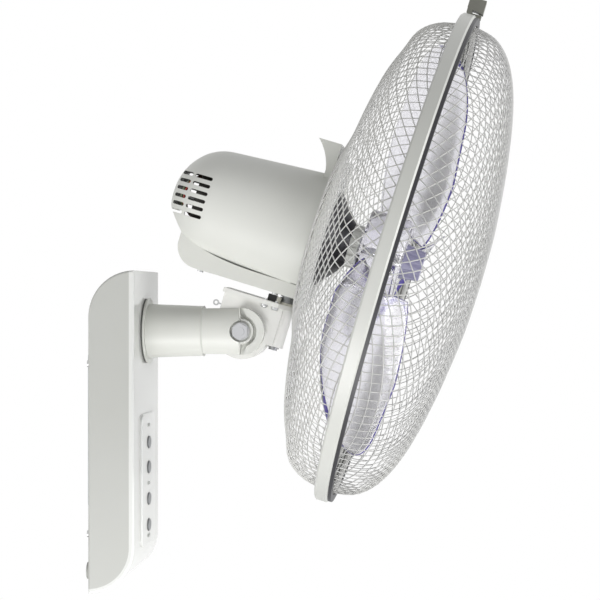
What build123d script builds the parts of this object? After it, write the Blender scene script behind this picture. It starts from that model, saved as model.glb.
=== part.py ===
from build123d import *
from math import cos, radians, sin, sqrt
import os

os.makedirs("parts", exist_ok=True)

# A wall mounted fan. Millimetres. +Z is up, the fan faces -Y, the wall is the plane Y = 0, and the
# origin is the centre of the wall plate's four screws. "Depth" is the distance from the wall, -Y.

# ---- driving dimensions: wall plate and wall box
PLATE_W, PLATE_H, PLATE_T = 80.0, 140.0, 2.0
WALL_SCREW_DX, WALL_SCREW_DZ, WALL_SCREW_HOLE = 60.0, 110.0, 5.2
HOOK_X, HOOK_W, HOOK_Z, HOOK_RISE = 24.0, 20.0, 42.0, 7.5
BOX_W, BOX_WALL, BOX_BACK, BOX_FRONT = 115.0, 2.5, 4.0, 45.0
BOX_TOP, BOX_BOTTOM = 142.0, -142.0
COVER_BAND, BOX_EDGE_R = 4.5, 2.2
SCREW_HEAD_POCKET_R = 7.0
BOX_SCREW_X, BOX_SCREW_TOP_Z, BOX_SCREW_LOW_Z = 50.0, 60.0, -90.0
BOX_SCREW_R, BOX_BOSS_R, BOX_SCREW_LEN = 1.4, 4.0, 20.0
BUMPER_X, BUMPER_Z, BUMPER_R, BUMPER_STEM_R = 40.0, -124.0, 7.5, 4.0
GROMMET_Z, GROMMET_BORE_R, GROMMET_NECK_R, GROMMET_FLANGE_R = -95.0, 3.5, 5.0, 7.0

# ---- driving dimensions: controls
PANEL_W, PANEL_H, PANEL_T, PANEL_R, PANEL_Z = 60.0, 119.0, 2.0, 8.0, -46.0
BUTTON_Z = (-13.0, -35.7, -64.3, -88.0)
BUTTON_NAMES = ("speed_button", "swing_button", "timer_button", "power_button")
BUTTON_W, BUTTON_H, BUTTON_PROUD, BUTTON_GAP, BUTTON_LIP = 14.0, 11.0, 1.2, 0.5, 1.5
BUTTON_TRAVEL, STEM_R, STEM_GAP = 1.2, 1.5, 0.2
LENS_Z = (2.7, -50.0, -97.5)
LENS_W, LENS_H = 10.0, 3.0
BOARD_W, BOARD_H, BOARD_T, BOARD_Z, BOARD_BACK = 50.0, 120.0, 1.6, -48.0, 33.0
SWITCH_W, SWITCH_H = 7.4, 3.9

# ---- driving dimensions: arm and tilt joint
ARM_Z, TILT_DEPTH = 88.0, 134.0
ARM_R_BOX, ARM_R_END, ARM_BORE_R = 24.5, 21.0, 16.0
ARM_FLANGE_R, ARM_FLANGE_T, ARM_SCREW_R, BARREL_END = 35.0, 4.0, 30.5, 133.0
EAR_X, FORK_X, KNUCKLE_GAP, FORK_DEPTH = 18.0, 12.7, 0.3, 98.0
SEAT_R, SEAT_RING_R, SEAT_RING_T = 9.5, 12.6, 2.5
BRACKET_W, BRACKET_T, BRACKET_FRONT = 76.0, 3.0, 18.0
BRACKET_LOW, BRACKET_TOP, BRACKET_PLATE_H = 50.5, 100.0, 66.0
COLLAR_R, COLLAR_T = 29.0, 1.6
TILT_BOLT_R, TILT_CLEAR, WASHER_R, WASHER_T = 3.98, 0.06, 8.0, 1.6
NUT_AF, NUT_T = 13.0, 6.5
TILT = 17.0

# ---- driving dimensions: head, measured along the fan axis ("a", forward) and across it ("r", "p")
HEAD_FORWARD, HEAD_UP = 115.0, 102.0
SWIVEL_A = -85.0
SWIVEL_R, SWIVEL_CLEAR, BUSH_R, POST_R, POST_LOW = 3.99, 0.04, 6.0, 8.4, -107.0
KNUCKLE_R = 25.0
TOP_PLATE_LOW, TOP_PLATE_HIGH, TOP_PLATE_X, TOP_PLATE_BACK = -72.5, -68.5, 20.0, -141.0
SHELL_FRONT, SHELL_R, SHELL_BACK, SHELL_BACK_R, SHELL_TAIL = -84.0, 55.5, -168.0, 50.0, -212.0
SHELL_WALL = 2.5
SKIRT_X, SKIRT_BOTTOM, SKIRT_FRONT = 28.0, -60.0, -76.0
VENT_H, VENT_PITCH, VENT_ROWS, VENT_TOP_P = 3.2, 7.0, 6, 19.5
VENT_NEAR_A, VENT_NEAR_L, VENT_FAR_A, VENT_FAR_L = -182.8, 17.0, -200.2, 12.7
STATOR_R, STATOR_FRONT, STATOR_BACK = 34.8, -115.0, -165.0
BELL_R, BELL_WALL, BOSS_R, BOSS_BORE_R, BOSS_END = 38.0, 3.0, 12.0, 4.6, -37.0
SHAFT_R, SHAFT_CLEAR, BEARING_R, BEARING_T = 4.0, 0.03, 8.0, 5.0
LINK_PIN_ORBIT, LINK_PIN_ANGLE, LINK_PIN_R = 10.0, 10.0, 2.0
LINK_LEN, LINK_W, LINK_T, LINK_TOP = 70.0, 6.0, 2.0, -54.3
CRANK_ARM, CRANK_R, CRANK_PIN_R, OPEN_EYE_R = 7.0, 11.0, 2.0, 4.2
SWING = 33.8

# ---- driving dimensions: guards and blade
RING_IN, RING_OUT, RING_BACK, RING_FRONT = 217.0, 225.0, -7.5, 7.5
TRIM_T, RIB_T = 3.0, 1.0
HOOP_R, HOOP_W, HOOP_T = 216.7, 3.7, 6.0
WIRE_SKIN, NET_PITCH, NET_BAR, NET_TURN = 2.0, 32.0, 2.6, 35.0
GUARD_PLATE_R, GUARD_PLATE_T = 75.0, 2.0
CLAMP_R, CLAMP_T, CONE_BACK_R, CONE_FRONT_R, CONE_T = 70.0, 8.0, 44.0, 20.0, 21.0
BLADE_HUB_R, BLADE_HUB_BACK, BLADE_HUB_FRONT, BLADE_TIP_R = 37.0, -34.0, 5.0, 195.0
BLADE_COUNT, BLADE_T, BLADE_PHASE = 3, 2.4, 20.0
BLADE_NUT_R, BLADE_NUT_T = 16.0, 17.0
CLIP_W, CLIP_T, CLIP_LOW, CLIP_HIGH = 13.0, 15.0, 226.0, 242.0

# ---- frame of the tilted head
AHEAD = Vector(0, -cos(radians(TILT)), -sin(radians(TILT)))
ABOVE = Vector(0, -sin(radians(TILT)), cos(radians(TILT)))
TILT_POINT = Vector(0, -TILT_DEPTH, ARM_Z)
CENTRE = TILT_POINT + AHEAD * HEAD_FORWARD + ABOVE * HEAD_UP
FAN_AXIS = Axis(CENTRE, AHEAD)
BOX_SIDE = Plane(origin=(0, 0, 0), x_dir=(0, -1, 0), z_dir=(-1, 0, 0))
HEAD_SIDE = Plane(origin=CENTRE, x_dir=AHEAD, z_dir=(-1, 0, 0))
ARM_AXIS = Axis((0, 0, ARM_Z), (0, -1, 0))


def depth_plane(depth):
    """Plane parallel to the wall: local x is X, local y is Z, and it faces the room."""
    return Plane(origin=(0, -depth, 0), x_dir=(1, 0, 0), z_dir=(0, -1, 0))


def face_plane(a):
    """Plane square to the fan axis at a: local x is X, local y points up the tilted head."""
    return Plane(origin=CENTRE + AHEAD * a, x_dir=(1, 0, 0), z_dir=AHEAD)


def swivel_plane(p):
    """Plane square to the swivel axis at p: local x is X, local y points to the rear."""
    return Plane(origin=CENTRE + AHEAD * SWIVEL_A + ABOVE * p, x_dir=(1, 0, 0), z_dir=ABOVE)


def cross_plane(x, side_plane):
    """A side plane moved to a given X; it faces -X."""
    return side_plane.offset(-x)


def arm_radius(depth):
    """Radius of the arm's long cone at a depth from the wall."""
    return ARM_R_BOX - (ARM_R_BOX - ARM_R_END) * (depth - BOX_FRONT) / (TILT_DEPTH - BOX_FRONT)


# ======== wall plate, wall box and its covers ========

with BuildPart() as wall_plate:
    with BuildSketch(depth_plane(0)):
        RectangleRounded(PLATE_W, PLATE_H, 6)
        with GridLocations(WALL_SCREW_DX, WALL_SCREW_DZ, 2, 2):
            Circle(WALL_SCREW_HOLE / 2, mode=Mode.SUBTRACT)
    extrude(amount=PLATE_T)
    # two hooks, bent out of the sheet, that the box hangs on
    HOOK_LIP_BACK = BOX_BACK + BOX_WALL + 0.5
    with BuildSketch(depth_plane(PLATE_T)):
        with Locations((-HOOK_X, HOOK_Z - PLATE_T / 2), (HOOK_X, HOOK_Z - PLATE_T / 2)):
            Rectangle(HOOK_W, PLATE_T)
    extrude(amount=HOOK_LIP_BACK)
    with BuildSketch(depth_plane(HOOK_LIP_BACK)):
        with Locations((-HOOK_X, HOOK_Z), (HOOK_X, HOOK_Z)):
            Rectangle(HOOK_W, HOOK_RISE, align=(Align.CENTER, Align.MIN))
    extrude(amount=PLATE_T)
wall_plate.part.label = "wall_plate"
export_step(wall_plate.part, "parts/wall_plate.step")

BOX_DEPTH = BOX_FRONT - BOX_BACK
SEAM_DEPTH = BOX_FRONT - COVER_BAND
TOP_CENTRE_Z = BOX_TOP - BOX_DEPTH
LOW_CENTRE_Z = BOX_BOTTOM + BOX_DEPTH
SEAM_R = BOX_DEPTH - COVER_BAND


def box_outline(grow):
    """Side outline of the box, rounded at its top back and low front edges, grown outwards by grow."""
    back, front, radius = BOX_BACK - grow, BOX_FRONT + grow, BOX_DEPTH + grow
    top = TOP_CENTRE_Z + sqrt(radius**2 - grow**2)
    bottom = LOW_CENTRE_Z - sqrt(radius**2 - grow**2)
    with BuildLine() as outline:
        RadiusArc((back, TOP_CENTRE_Z), (front, top), radius)
        Line((front, top), (front, LOW_CENTRE_Z))
        RadiusArc((front, LOW_CENTRE_Z), (back, bottom), radius)
        Line((back, bottom), (back, TOP_CENTRE_Z))
    return outline.line


def seam_outline():
    """Region behind the seam between the rear housing and the front cover."""
    with BuildLine() as outline:
        Polyline((SEAM_DEPTH, LOW_CENTRE_Z), (SEAM_DEPTH, BOX_TOP + 5), (0, BOX_TOP + 5),
                 (0, LOW_CENTRE_Z - SEAM_R), (BOX_BACK, LOW_CENTRE_Z - SEAM_R))
        RadiusArc((BOX_BACK, LOW_CENTRE_Z - SEAM_R), (SEAM_DEPTH, LOW_CENTRE_Z), -SEAM_R)
    return outline.line


with BuildPart() as rear_housing:
    with BuildSketch(BOX_SIDE):
        add(make_face(box_outline(0)))
    extrude(amount=BOX_W / 2, both=True)
    fillet(rear_housing.faces().filter_by(Axis.X).edges(), BOX_EDGE_R)
    with BuildSketch(BOX_SIDE):
        add(make_face(seam_outline()))
    extrude(amount=BOX_W / 2, both=True, mode=Mode.INTERSECT)
    with BuildSketch(BOX_SIDE):
        add(make_face(box_outline(-BOX_WALL)))
        with BuildLine():
            Polyline((BOX_BACK + BOX_WALL, LOW_CENTRE_Z), (BOX_FRONT, LOW_CENTRE_Z), (BOX_FRONT, BOX_BOTTOM),
                     (BOX_BACK + BOX_WALL, BOX_BOTTOM), close=True)
        make_face()
    extrude(amount=BOX_W / 2 - BOX_WALL, both=True, mode=Mode.SUBTRACT)
    # holes in the rear wall: wall screw heads, hooks, bracket screws, box screws, bumpers, cord
    with BuildSketch(depth_plane(BOX_BACK)):
        with GridLocations(WALL_SCREW_DX, WALL_SCREW_DZ, 2, 2):
            Circle(SCREW_HEAD_POCKET_R)
        with Locations((-HOOK_X, HOOK_Z + 0.3), (HOOK_X, HOOK_Z + 0.3)):
            Rectangle(HOOK_W + 1, PLATE_T + HOOK_RISE + 1.5, align=(Align.CENTER, Align.MAX))
        with Locations((-BUMPER_X, BUMPER_Z), (BUMPER_X, BUMPER_Z)):
            Circle(BUMPER_STEM_R)
        with Locations((0, GROMMET_Z)):
            Circle(GROMMET_NECK_R)
        with Locations(*[(x, z) for x in (-BOX_SCREW_X, BOX_SCREW_X)
                         for z in (BOX_SCREW_TOP_Z, BOX_SCREW_LOW_Z)]):
            Circle(BOX_SCREW_R + 0.1)
        with Locations((-12, 62), (12, 62), (-28, 92), (28, 92)):
            Circle(2.1)
    extrude(amount=BOX_WALL, mode=Mode.SUBTRACT)
rear_housing.part.label = "rear_housing"
export_step(rear_housing.part, "parts/rear_housing.step")

with BuildPart() as front_cover:
    with BuildSketch(BOX_SIDE):
        add(make_face(box_outline(0)))
    extrude(amount=BOX_W / 2, both=True)
    fillet(front_cover.faces().filter_by(Axis.X).edges(), BOX_EDGE_R)
    with BuildSketch(BOX_SIDE):
        add(make_face(seam_outline()))
    extrude(amount=BOX_W / 2, both=True, mode=Mode.SUBTRACT)
    with BuildSketch(BOX_SIDE):
        add(make_face(box_outline(-BOX_WALL)))
    extrude(amount=BOX_W / 2 - BOX_WALL, both=True, mode=Mode.SUBTRACT)
    # bosses for the box screws and posts for the control board
    with BuildSketch(depth_plane(BOX_BACK + BOX_WALL)):
        with Locations(*[(x, z) for x in (-BOX_SCREW_X, BOX_SCREW_X)
                         for z in (BOX_SCREW_TOP_Z, BOX_SCREW_LOW_Z)]):
            Circle(BOX_BOSS_R)
            Circle(BOX_SCREW_R + 0.05, mode=Mode.SUBTRACT)
    extrude(amount=BOX_DEPTH - 2 * BOX_WALL)
    with BuildSketch(depth_plane(BOARD_BACK + BOARD_T)):
        with Locations((0, BOARD_Z)):
            with GridLocations(BOARD_W - 8, BOARD_H - 16, 2, 2):
                Circle(3)
    extrude(amount=BOX_FRONT - BOX_WALL - BOARD_BACK - BOARD_T)
    # openings for the arm and the buttons
    with BuildSketch(depth_plane(SEAM_DEPTH)):
        with Locations((0, ARM_Z)):
            Circle(arm_radius(SEAM_DEPTH) + 0.3)
        with Locations(*[(0, z) for z in BUTTON_Z]):
            Ellipse(BUTTON_W / 2 + BUTTON_GAP, BUTTON_H / 2 + BUTTON_GAP)
    extrude(amount=COVER_BAND, mode=Mode.SUBTRACT)
front_cover.part.label = "front_cover"
export_step(front_cover.part, "parts/front_cover.step")

with BuildPart() as control_panel:
    with BuildSketch(depth_plane(BOX_FRONT)):
        with Locations((0, PANEL_Z)):
            RectangleRounded(PANEL_W, PANEL_H, PANEL_R)
        with Locations(*[(0, z) for z in BUTTON_Z]):
            Ellipse(BUTTON_W / 2 + BUTTON_GAP, BUTTON_H / 2 + BUTTON_GAP, mode=Mode.SUBTRACT)
        with Locations(*[(0, z) for z in LENS_Z]):
            SlotOverall(LENS_W, LENS_H, mode=Mode.SUBTRACT)
    extrude(amount=PANEL_T)
    chamfer(control_panel.faces().sort_by(Axis.Y)[0].outer_wire().edges(), PANEL_T * 0.35)
control_panel.part.label = "control_panel"
export_step(control_panel.part, "parts/control_panel.step")

with BuildPart() as indicator_lenses:
    with BuildSketch(depth_plane(BOX_FRONT)):
        with Locations(*[(0, z) for z in LENS_Z]):
            SlotOverall(LENS_W, LENS_H)
    extrude(amount=PANEL_T + 0.3)
indicator_lenses.part.label = "indicator_lenses"
export_step(indicator_lenses.part, "parts/indicator_lenses.step")

BUTTON_BACK = BOX_FRONT - BOX_WALL - 0.2
BUTTON_FRONT = BOX_FRONT + PANEL_T + BUTTON_PROUD
BOARD_FRONT = BOARD_BACK + BOARD_T
STEM_END = BOARD_FRONT + SWITCH_H - BUTTON_TRAVEL - 0.7
for button_name, button_z in zip(BUTTON_NAMES, BUTTON_Z):
    with BuildPart() as button:
        with BuildSketch(depth_plane(BUTTON_BACK)):
            with Locations((0, button_z)):
                Ellipse(BUTTON_W / 2, BUTTON_H / 2)
        extrude(amount=BUTTON_FRONT - BUTTON_BACK)
        fillet(button.faces().sort_by(Axis.Y)[0].edges(), BUTTON_PROUD * 0.6)
        with BuildSketch(depth_plane(BUTTON_BACK)):
            with Locations((0, button_z)):
                Ellipse(BUTTON_W / 2 + BUTTON_LIP, BUTTON_H / 2 + BUTTON_LIP)
        extrude(amount=-BUTTON_LIP)
        with BuildSketch(depth_plane(STEM_END)):
            with Locations((0, button_z)):
                Circle(STEM_R)
        extrude(amount=BUTTON_BACK - STEM_END)
    button.part.label = button_name
    export_step(button.part, f"parts/{button_name}.step")

with BuildPart() as control_board:
    with BuildSketch(depth_plane(BOARD_BACK)):
        with Locations((0, BOARD_Z)):
            RectangleRounded(BOARD_W, BOARD_H, 2)
    extrude(amount=BOARD_T)
control_board.part.label = "control_board"
export_step(control_board.part, "parts/control_board.step")

with BuildPart() as tact_switches:
    with BuildSketch(depth_plane(BOARD_FRONT)):
        with Locations(*[(0, z) for z in BUTTON_Z]):
            RectangleRounded(SWITCH_W, SWITCH_W, 1)
    extrude(amount=SWITCH_H)
    with BuildSketch(depth_plane(BOARD_FRONT + 0.6)):
        with Locations(*[(0, z) for z in BUTTON_Z]):
            Circle(STEM_R + STEM_GAP)
    extrude(amount=SWITCH_H, mode=Mode.SUBTRACT)
tact_switches.part.label = "tact_switches"
export_step(tact_switches.part, "parts/tact_switches.step")

REAR_WALL_FRONT = BOX_BACK + BOX_WALL
with BuildPart() as run_capacitor:
    with BuildSketch(depth_plane(REAR_WALL_FRONT)):
        with Locations((-11, -41)):
            RectangleRounded(38, 38, 3)
    extrude(amount=19.5)
run_capacitor.part.label = "run_capacitor"
export_step(run_capacitor.part, "parts/run_capacitor.step")

with BuildPart() as terminal_block:
    with BuildSketch(depth_plane(REAR_WALL_FRONT)):
        with Locations((32, -53)):
            Rectangle(36, 15)
    extrude(amount=13.5)
    with BuildSketch(depth_plane(REAR_WALL_FRONT + 13.5)):
        with Locations((32, -53)):
            with GridLocations(11, 0, 3, 1):
                Circle(3)
    extrude(amount=-8, mode=Mode.SUBTRACT)
terminal_block.part.label = "terminal_block"
export_step(terminal_block.part, "parts/terminal_block.step")

with BuildPart() as wall_bumpers:
    with BuildSketch(depth_plane(0)):
        with Locations((-BUMPER_X, BUMPER_Z), (BUMPER_X, BUMPER_Z)):
            Circle(BUMPER_R)
    extrude(amount=BOX_BACK)
    with BuildSketch(depth_plane(BOX_BACK)):
        with Locations((-BUMPER_X, BUMPER_Z), (BUMPER_X, BUMPER_Z)):
            Circle(BUMPER_STEM_R)
    extrude(amount=BOX_WALL + 1.5)
wall_bumpers.part.label = "wall_bumpers"
export_step(wall_bumpers.part, "parts/wall_bumpers.step")

with BuildPart() as cord_grommet:
    with BuildSketch(depth_plane(BOX_BACK - 1.5)):
        with Locations((0, GROMMET_Z)):
            Circle(GROMMET_FLANGE_R)
    extrude(amount=1.5)
    with BuildSketch(depth_plane(BOX_BACK)):
        with Locations((0, GROMMET_Z)):
            Circle(GROMMET_NECK_R)
    extrude(amount=BOX_WALL)
    with BuildSketch(depth_plane(REAR_WALL_FRONT)):
        with Locations((0, GROMMET_Z)):
            Circle(GROMMET_FLANGE_R)
    extrude(amount=1.5)
    with BuildSketch(depth_plane(0)):
        with Locations((0, GROMMET_Z)):
            Circle(GROMMET_BORE_R)
    extrude(amount=BOX_FRONT, mode=Mode.SUBTRACT)
cord_grommet.part.label = "cord_grommet"
export_step(cord_grommet.part, "parts/cord_grommet.step")

with BuildPart() as housing_screws:
    with BuildSketch(depth_plane(BOX_BACK)):
        with Locations(*[(x, z) for x in (-BOX_SCREW_X, BOX_SCREW_X)
                         for z in (BOX_SCREW_TOP_Z, BOX_SCREW_LOW_Z)]):
            Circle(3)
    extrude(amount=-2)
    with BuildSketch(depth_plane(BOX_BACK)):
        with Locations(*[(x, z) for x in (-BOX_SCREW_X, BOX_SCREW_X)
                         for z in (BOX_SCREW_TOP_Z, BOX_SCREW_LOW_Z)]):
            Circle(BOX_SCREW_R)
    extrude(amount=BOX_SCREW_LEN)
housing_screws.part.label = "housing_screws"
export_step(housing_screws.part, "parts/housing_screws.step")

# ======== arm, its bracket and the tilt bolt ========

BRACKET_MID_Z = (BRACKET_LOW + BRACKET_TOP) / 2
BRACKET_H = BRACKET_TOP - BRACKET_LOW
FLANGE_BACK = BRACKET_FRONT + BRACKET_T
with BuildPart() as arm_bracket:
    with BuildSketch(depth_plane(REAR_WALL_FRONT)):
        with Locations((0, BRACKET_MID_Z)):
            RectangleRounded(BRACKET_W, BRACKET_H, 3)
        with Locations((-12, 62), (12, 62), (-28, 92), (28, 92)):
            Circle(2.1, mode=Mode.SUBTRACT)
    extrude(amount=BRACKET_T)
    with BuildSketch(depth_plane(REAR_WALL_FRONT)):
        for x in (-1, 1):
            with Locations((x * (BRACKET_W / 2 - BRACKET_T / 2), BRACKET_MID_Z)):
                Rectangle(BRACKET_T, BRACKET_H - 8)
    extrude(amount=BRACKET_FRONT - REAR_WALL_FRONT)
    with BuildSketch(depth_plane(BRACKET_FRONT)):
        with Locations((0, ARM_Z)):
            RectangleRounded(BRACKET_W, BRACKET_PLATE_H, 4)
            Circle(ARM_BORE_R, mode=Mode.SUBTRACT)
            with PolarLocations(ARM_SCREW_R, 4, 45):
                Circle(2.05, mode=Mode.SUBTRACT)
    extrude(amount=BRACKET_T)
arm_bracket.part.label = "arm_bracket"
export_step(arm_bracket.part, "parts/arm_bracket.step")

with BuildPart() as bracket_screws:
    with BuildSketch(depth_plane(PLATE_T + 0.2)):
        with Locations((-12, 62), (12, 62), (-28, 92), (28, 92)):
            Circle(4)
    extrude(amount=BOX_BACK - PLATE_T - 0.2)
    with BuildSketch(depth_plane(BOX_BACK)):
        with Locations((-12, 62), (12, 62), (-28, 92), (28, 92)):
            Circle(2)
    extrude(amount=BOX_WALL + BRACKET_T + 2)
bracket_screws.part.label = "bracket_screws"
export_step(bracket_screws.part, "parts/bracket_screws.step")

ARM_SIDE = Plane(origin=(0, 0, ARM_Z), x_dir=(0, -1, 0), z_dir=(-1, 0, 0))
with BuildPart() as arm:
    with BuildSketch(ARM_SIDE):
        with BuildLine():
            Polyline((FLANGE_BACK, 0), (FLANGE_BACK, ARM_FLANGE_R),
                     (FLANGE_BACK + ARM_FLANGE_T, ARM_FLANGE_R),
                     (FLANGE_BACK + ARM_FLANGE_T, arm_radius(FLANGE_BACK + ARM_FLANGE_T)),
                     (BARREL_END, arm_radius(BARREL_END)), (BARREL_END, 0), close=True)
        make_face()
    revolve(axis=ARM_AXIS)
    # the end turns into a fork of two ears
    with BuildSketch(ARM_SIDE):
        with Locations((TILT_DEPTH, 0)):
            Circle(ARM_R_END)
            Rectangle(TILT_DEPTH - FORK_DEPTH, 2 * ARM_R_END, align=(Align.MAX, Align.CENTER))
    extrude(amount=EAR_X, both=True)
    # thin step ring just in front of the dark collar
    with BuildSketch(depth_plane(BOX_FRONT + COLLAR_T)):
        with Locations((0, ARM_Z)):
            Circle(COLLAR_R + 0.5)
    extrude(amount=1.5)
    # a raised ring round each washer's seat, and the seat sunk into the end of the barrel
    with BuildSketch(ARM_SIDE):
        with Locations((TILT_DEPTH, 0)):
            Circle(SEAT_RING_R)
    extrude(amount=EAR_X + SEAT_RING_T, both=True)
    for seat_side in (-1, 1):
        with BuildSketch(cross_plane(seat_side * EAR_X, ARM_SIDE)):
            with Locations((TILT_DEPTH, 0)):
                Circle(SEAT_R)
        extrude(amount=-seat_side * ARM_R_BOX, mode=Mode.SUBTRACT)
    # fork slot, cable bore, bolt hole, flange screw holes
    with BuildSketch(ARM_SIDE):
        with Locations((FORK_DEPTH, 0)):
            Rectangle(TILT_DEPTH, 4 * ARM_R_END, align=(Align.MIN, Align.CENTER))
    extrude(amount=FORK_X, both=True, mode=Mode.SUBTRACT)
    with BuildSketch(depth_plane(FLANGE_BACK)):
        with Locations((0, ARM_Z)):
            Circle(ARM_BORE_R)
            with PolarLocations(ARM_SCREW_R, 4, 45):
                Circle(2.05)
    extrude(amount=FORK_DEPTH - FLANGE_BACK + 2, mode=Mode.SUBTRACT)
    with BuildSketch(ARM_SIDE):
        with Locations((TILT_DEPTH, 0)):
            Circle(TILT_BOLT_R + TILT_CLEAR)
    extrude(amount=BOX_W, both=True, mode=Mode.SUBTRACT)
arm.part.label = "arm"
export_step(arm.part, "parts/arm.step")

with BuildPart() as arm_gasket:
    with BuildSketch(depth_plane(BOX_FRONT)):
        with Locations((0, ARM_Z)):
            Circle(COLLAR_R)
            Circle(ARM_R_BOX, mode=Mode.SUBTRACT)
    extrude(amount=COLLAR_T)
arm_gasket.part.label = "arm_gasket"
export_step(arm_gasket.part, "parts/arm_gasket.step")

with BuildPart() as arm_screws:
    with BuildSketch(depth_plane(FLANGE_BACK + ARM_FLANGE_T)):
        with Locations((0, ARM_Z)):
            with PolarLocations(ARM_SCREW_R, 4, 45):
                Circle(3.6)
    extrude(amount=2.6)
    with BuildSketch(depth_plane(FLANGE_BACK + ARM_FLANGE_T)):
        with Locations((0, ARM_Z)):
            with PolarLocations(ARM_SCREW_R, 4, 45):
                Circle(2)
    extrude(amount=-ARM_FLANGE_T - BRACKET_T - 3)
arm_screws.part.label = "arm_screws"
export_step(arm_screws.part, "parts/arm_screws.step")

SEAT_X = EAR_X + WASHER_T
with BuildPart() as pivot_bolt:
    with BuildSketch(cross_plane(SEAT_X, ARM_SIDE)):
        with Locations((TILT_DEPTH, 0)):
            RegularPolygon(NUT_AF / 2, 6, major_radius=False)
    extrude(amount=-5.3)
    with BuildSketch(cross_plane(SEAT_X, ARM_SIDE)):
        with Locations((TILT_DEPTH, 0)):
            Circle(TILT_BOLT_R)
    extrude(amount=2 * SEAT_X + NUT_T + 2.5)
pivot_bolt.part.label = "pivot_bolt"
export_step(pivot_bolt.part, "parts/pivot_bolt.step")

with BuildPart() as pivot_nut:
    with BuildSketch(cross_plane(-SEAT_X, ARM_SIDE)):
        with Locations((TILT_DEPTH, 0)):
            RegularPolygon(NUT_AF / 2, 6, major_radius=False)
            Circle(TILT_BOLT_R, mode=Mode.SUBTRACT)
    extrude(amount=NUT_T)
pivot_nut.part.label = "pivot_nut"
export_step(pivot_nut.part, "parts/pivot_nut.step")

with BuildPart() as pivot_washers:
    for x, side in ((-EAR_X, 1), (EAR_X, -1)):
        with BuildSketch(cross_plane(x, ARM_SIDE)):
            with Locations((TILT_DEPTH, 0)):
                Circle(WASHER_R)
                Circle(TILT_BOLT_R + TILT_CLEAR, mode=Mode.SUBTRACT)
        extrude(amount=side * WASHER_T)
pivot_washers.part.label = "pivot_washers"
export_step(pivot_washers.part, "parts/pivot_washers.step")

# ======== neck: it tilts in the fork and carries the swivel ========

TILT_A, TILT_P = -HEAD_FORWARD, -HEAD_UP
NECK_X = FORK_X - KNUCKLE_GAP
PLATE_SIDE_B = SWIVEL_A - TOP_PLATE_BACK
NECK_SCREWS = tuple((x, b) for x in (-16.0, 16.0) for b in (7.0, 17.0))
with BuildPart() as neck_bracket:
    with BuildSketch(HEAD_SIDE):
        with Locations((TILT_A, TILT_P)):
            Circle(KNUCKLE_R)
        with BuildLine():
            Polyline((TILT_A - KNUCKLE_R, TOP_PLATE_LOW), (SWIVEL_A, TOP_PLATE_LOW), (SWIVEL_A, POST_LOW),
                     (TILT_A, POST_LOW), (TILT_A, TILT_P), (TILT_A - KNUCKLE_R, TILT_P), close=True)
        make_face()
    extrude(amount=NECK_X, both=True)
    # top plate: its nose is round so that the turning head passes it
    with BuildSketch(swivel_plane(TOP_PLATE_LOW)):
        Circle(POST_R)
        with BuildLine():
            Polyline((-TOP_PLATE_X, PLATE_SIDE_B), (TOP_PLATE_X, PLATE_SIDE_B), (TOP_PLATE_X, 4.5),
                     (POST_R * sin(radians(SWING)), -POST_R * cos(radians(SWING))),
                     (-POST_R * sin(radians(SWING)), -POST_R * cos(radians(SWING))),
                     (-TOP_PLATE_X, 4.5), close=True)
        make_face()
    extrude(amount=TOP_PLATE_HIGH - TOP_PLATE_LOW)
    with BuildSketch(swivel_plane(POST_LOW)):
        Circle(POST_R)
    extrude(amount=TOP_PLATE_HIGH - POST_LOW)
    # bores for the tilt bolt, the swivel bush and the plate screws
    with BuildSketch(HEAD_SIDE):
        with Locations((TILT_A, TILT_P)):
            Circle(TILT_BOLT_R + TILT_CLEAR)
    extrude(amount=BOX_W, both=True, mode=Mode.SUBTRACT)
    with BuildSketch(swivel_plane(POST_LOW)):
        Circle(BUSH_R)
        with Locations(*NECK_SCREWS):
            Circle(1.55)
    extrude(amount=TOP_PLATE_HIGH - POST_LOW, mode=Mode.SUBTRACT)
neck_bracket.part.label = "neck_bracket"
export_step(neck_bracket.part, "parts/neck_bracket.step")

with BuildPart() as swivel_bush:
    with BuildSketch(swivel_plane(POST_LOW)):
        Circle(BUSH_R)
    extrude(amount=TOP_PLATE_HIGH - POST_LOW)
    with BuildSketch(swivel_plane(TOP_PLATE_HIGH)):
        Circle(BUSH_R + 1.4)
    extrude(amount=2)
    with BuildSketch(swivel_plane(POST_LOW)):
        Circle(SWIVEL_R + SWIVEL_CLEAR)
    extrude(amount=TOP_PLATE_HIGH - POST_LOW + 2, mode=Mode.SUBTRACT)
swivel_bush.part.label = "swivel_bush"
export_step(swivel_bush.part, "parts/swivel_bush.step")

with BuildPart() as neck_screws:
    with BuildSketch(swivel_plane(TOP_PLATE_LOW)):
        with Locations(*NECK_SCREWS):
            Circle(3.2)
    extrude(amount=-3)
    fillet(neck_screws.edges().filter_by(GeomType.CIRCLE).sort_by(Axis((0, 0, 0), ABOVE))[:4], 1.6)
    with BuildSketch(swivel_plane(TOP_PLATE_LOW)):
        with Locations(*NECK_SCREWS):
            Circle(1.5)
    extrude(amount=TOP_PLATE_HIGH - TOP_PLATE_LOW + 1.5)
neck_screws.part.label = "neck_screws"
export_step(neck_screws.part, "parts/neck_screws.step")

with BuildPart() as stop_lug:
    with BuildSketch(swivel_plane(TOP_PLATE_HIGH)):
        with Locations((-4, 13)):
            Rectangle(8, 8)
    extrude(amount=6)
stop_lug.part.label = "stop_lug"
export_step(stop_lug.part, "parts/stop_lug.step")

with BuildPart() as nylon_post:
    with BuildSketch(swivel_plane(TOP_PLATE_HIGH)):
        with Locations((-8.3, 6.6)):
            Circle(2)
    extrude(amount=5.5)
nylon_post.part.label = "nylon_post"
export_step(nylon_post.part, "parts/nylon_post.step")

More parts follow.
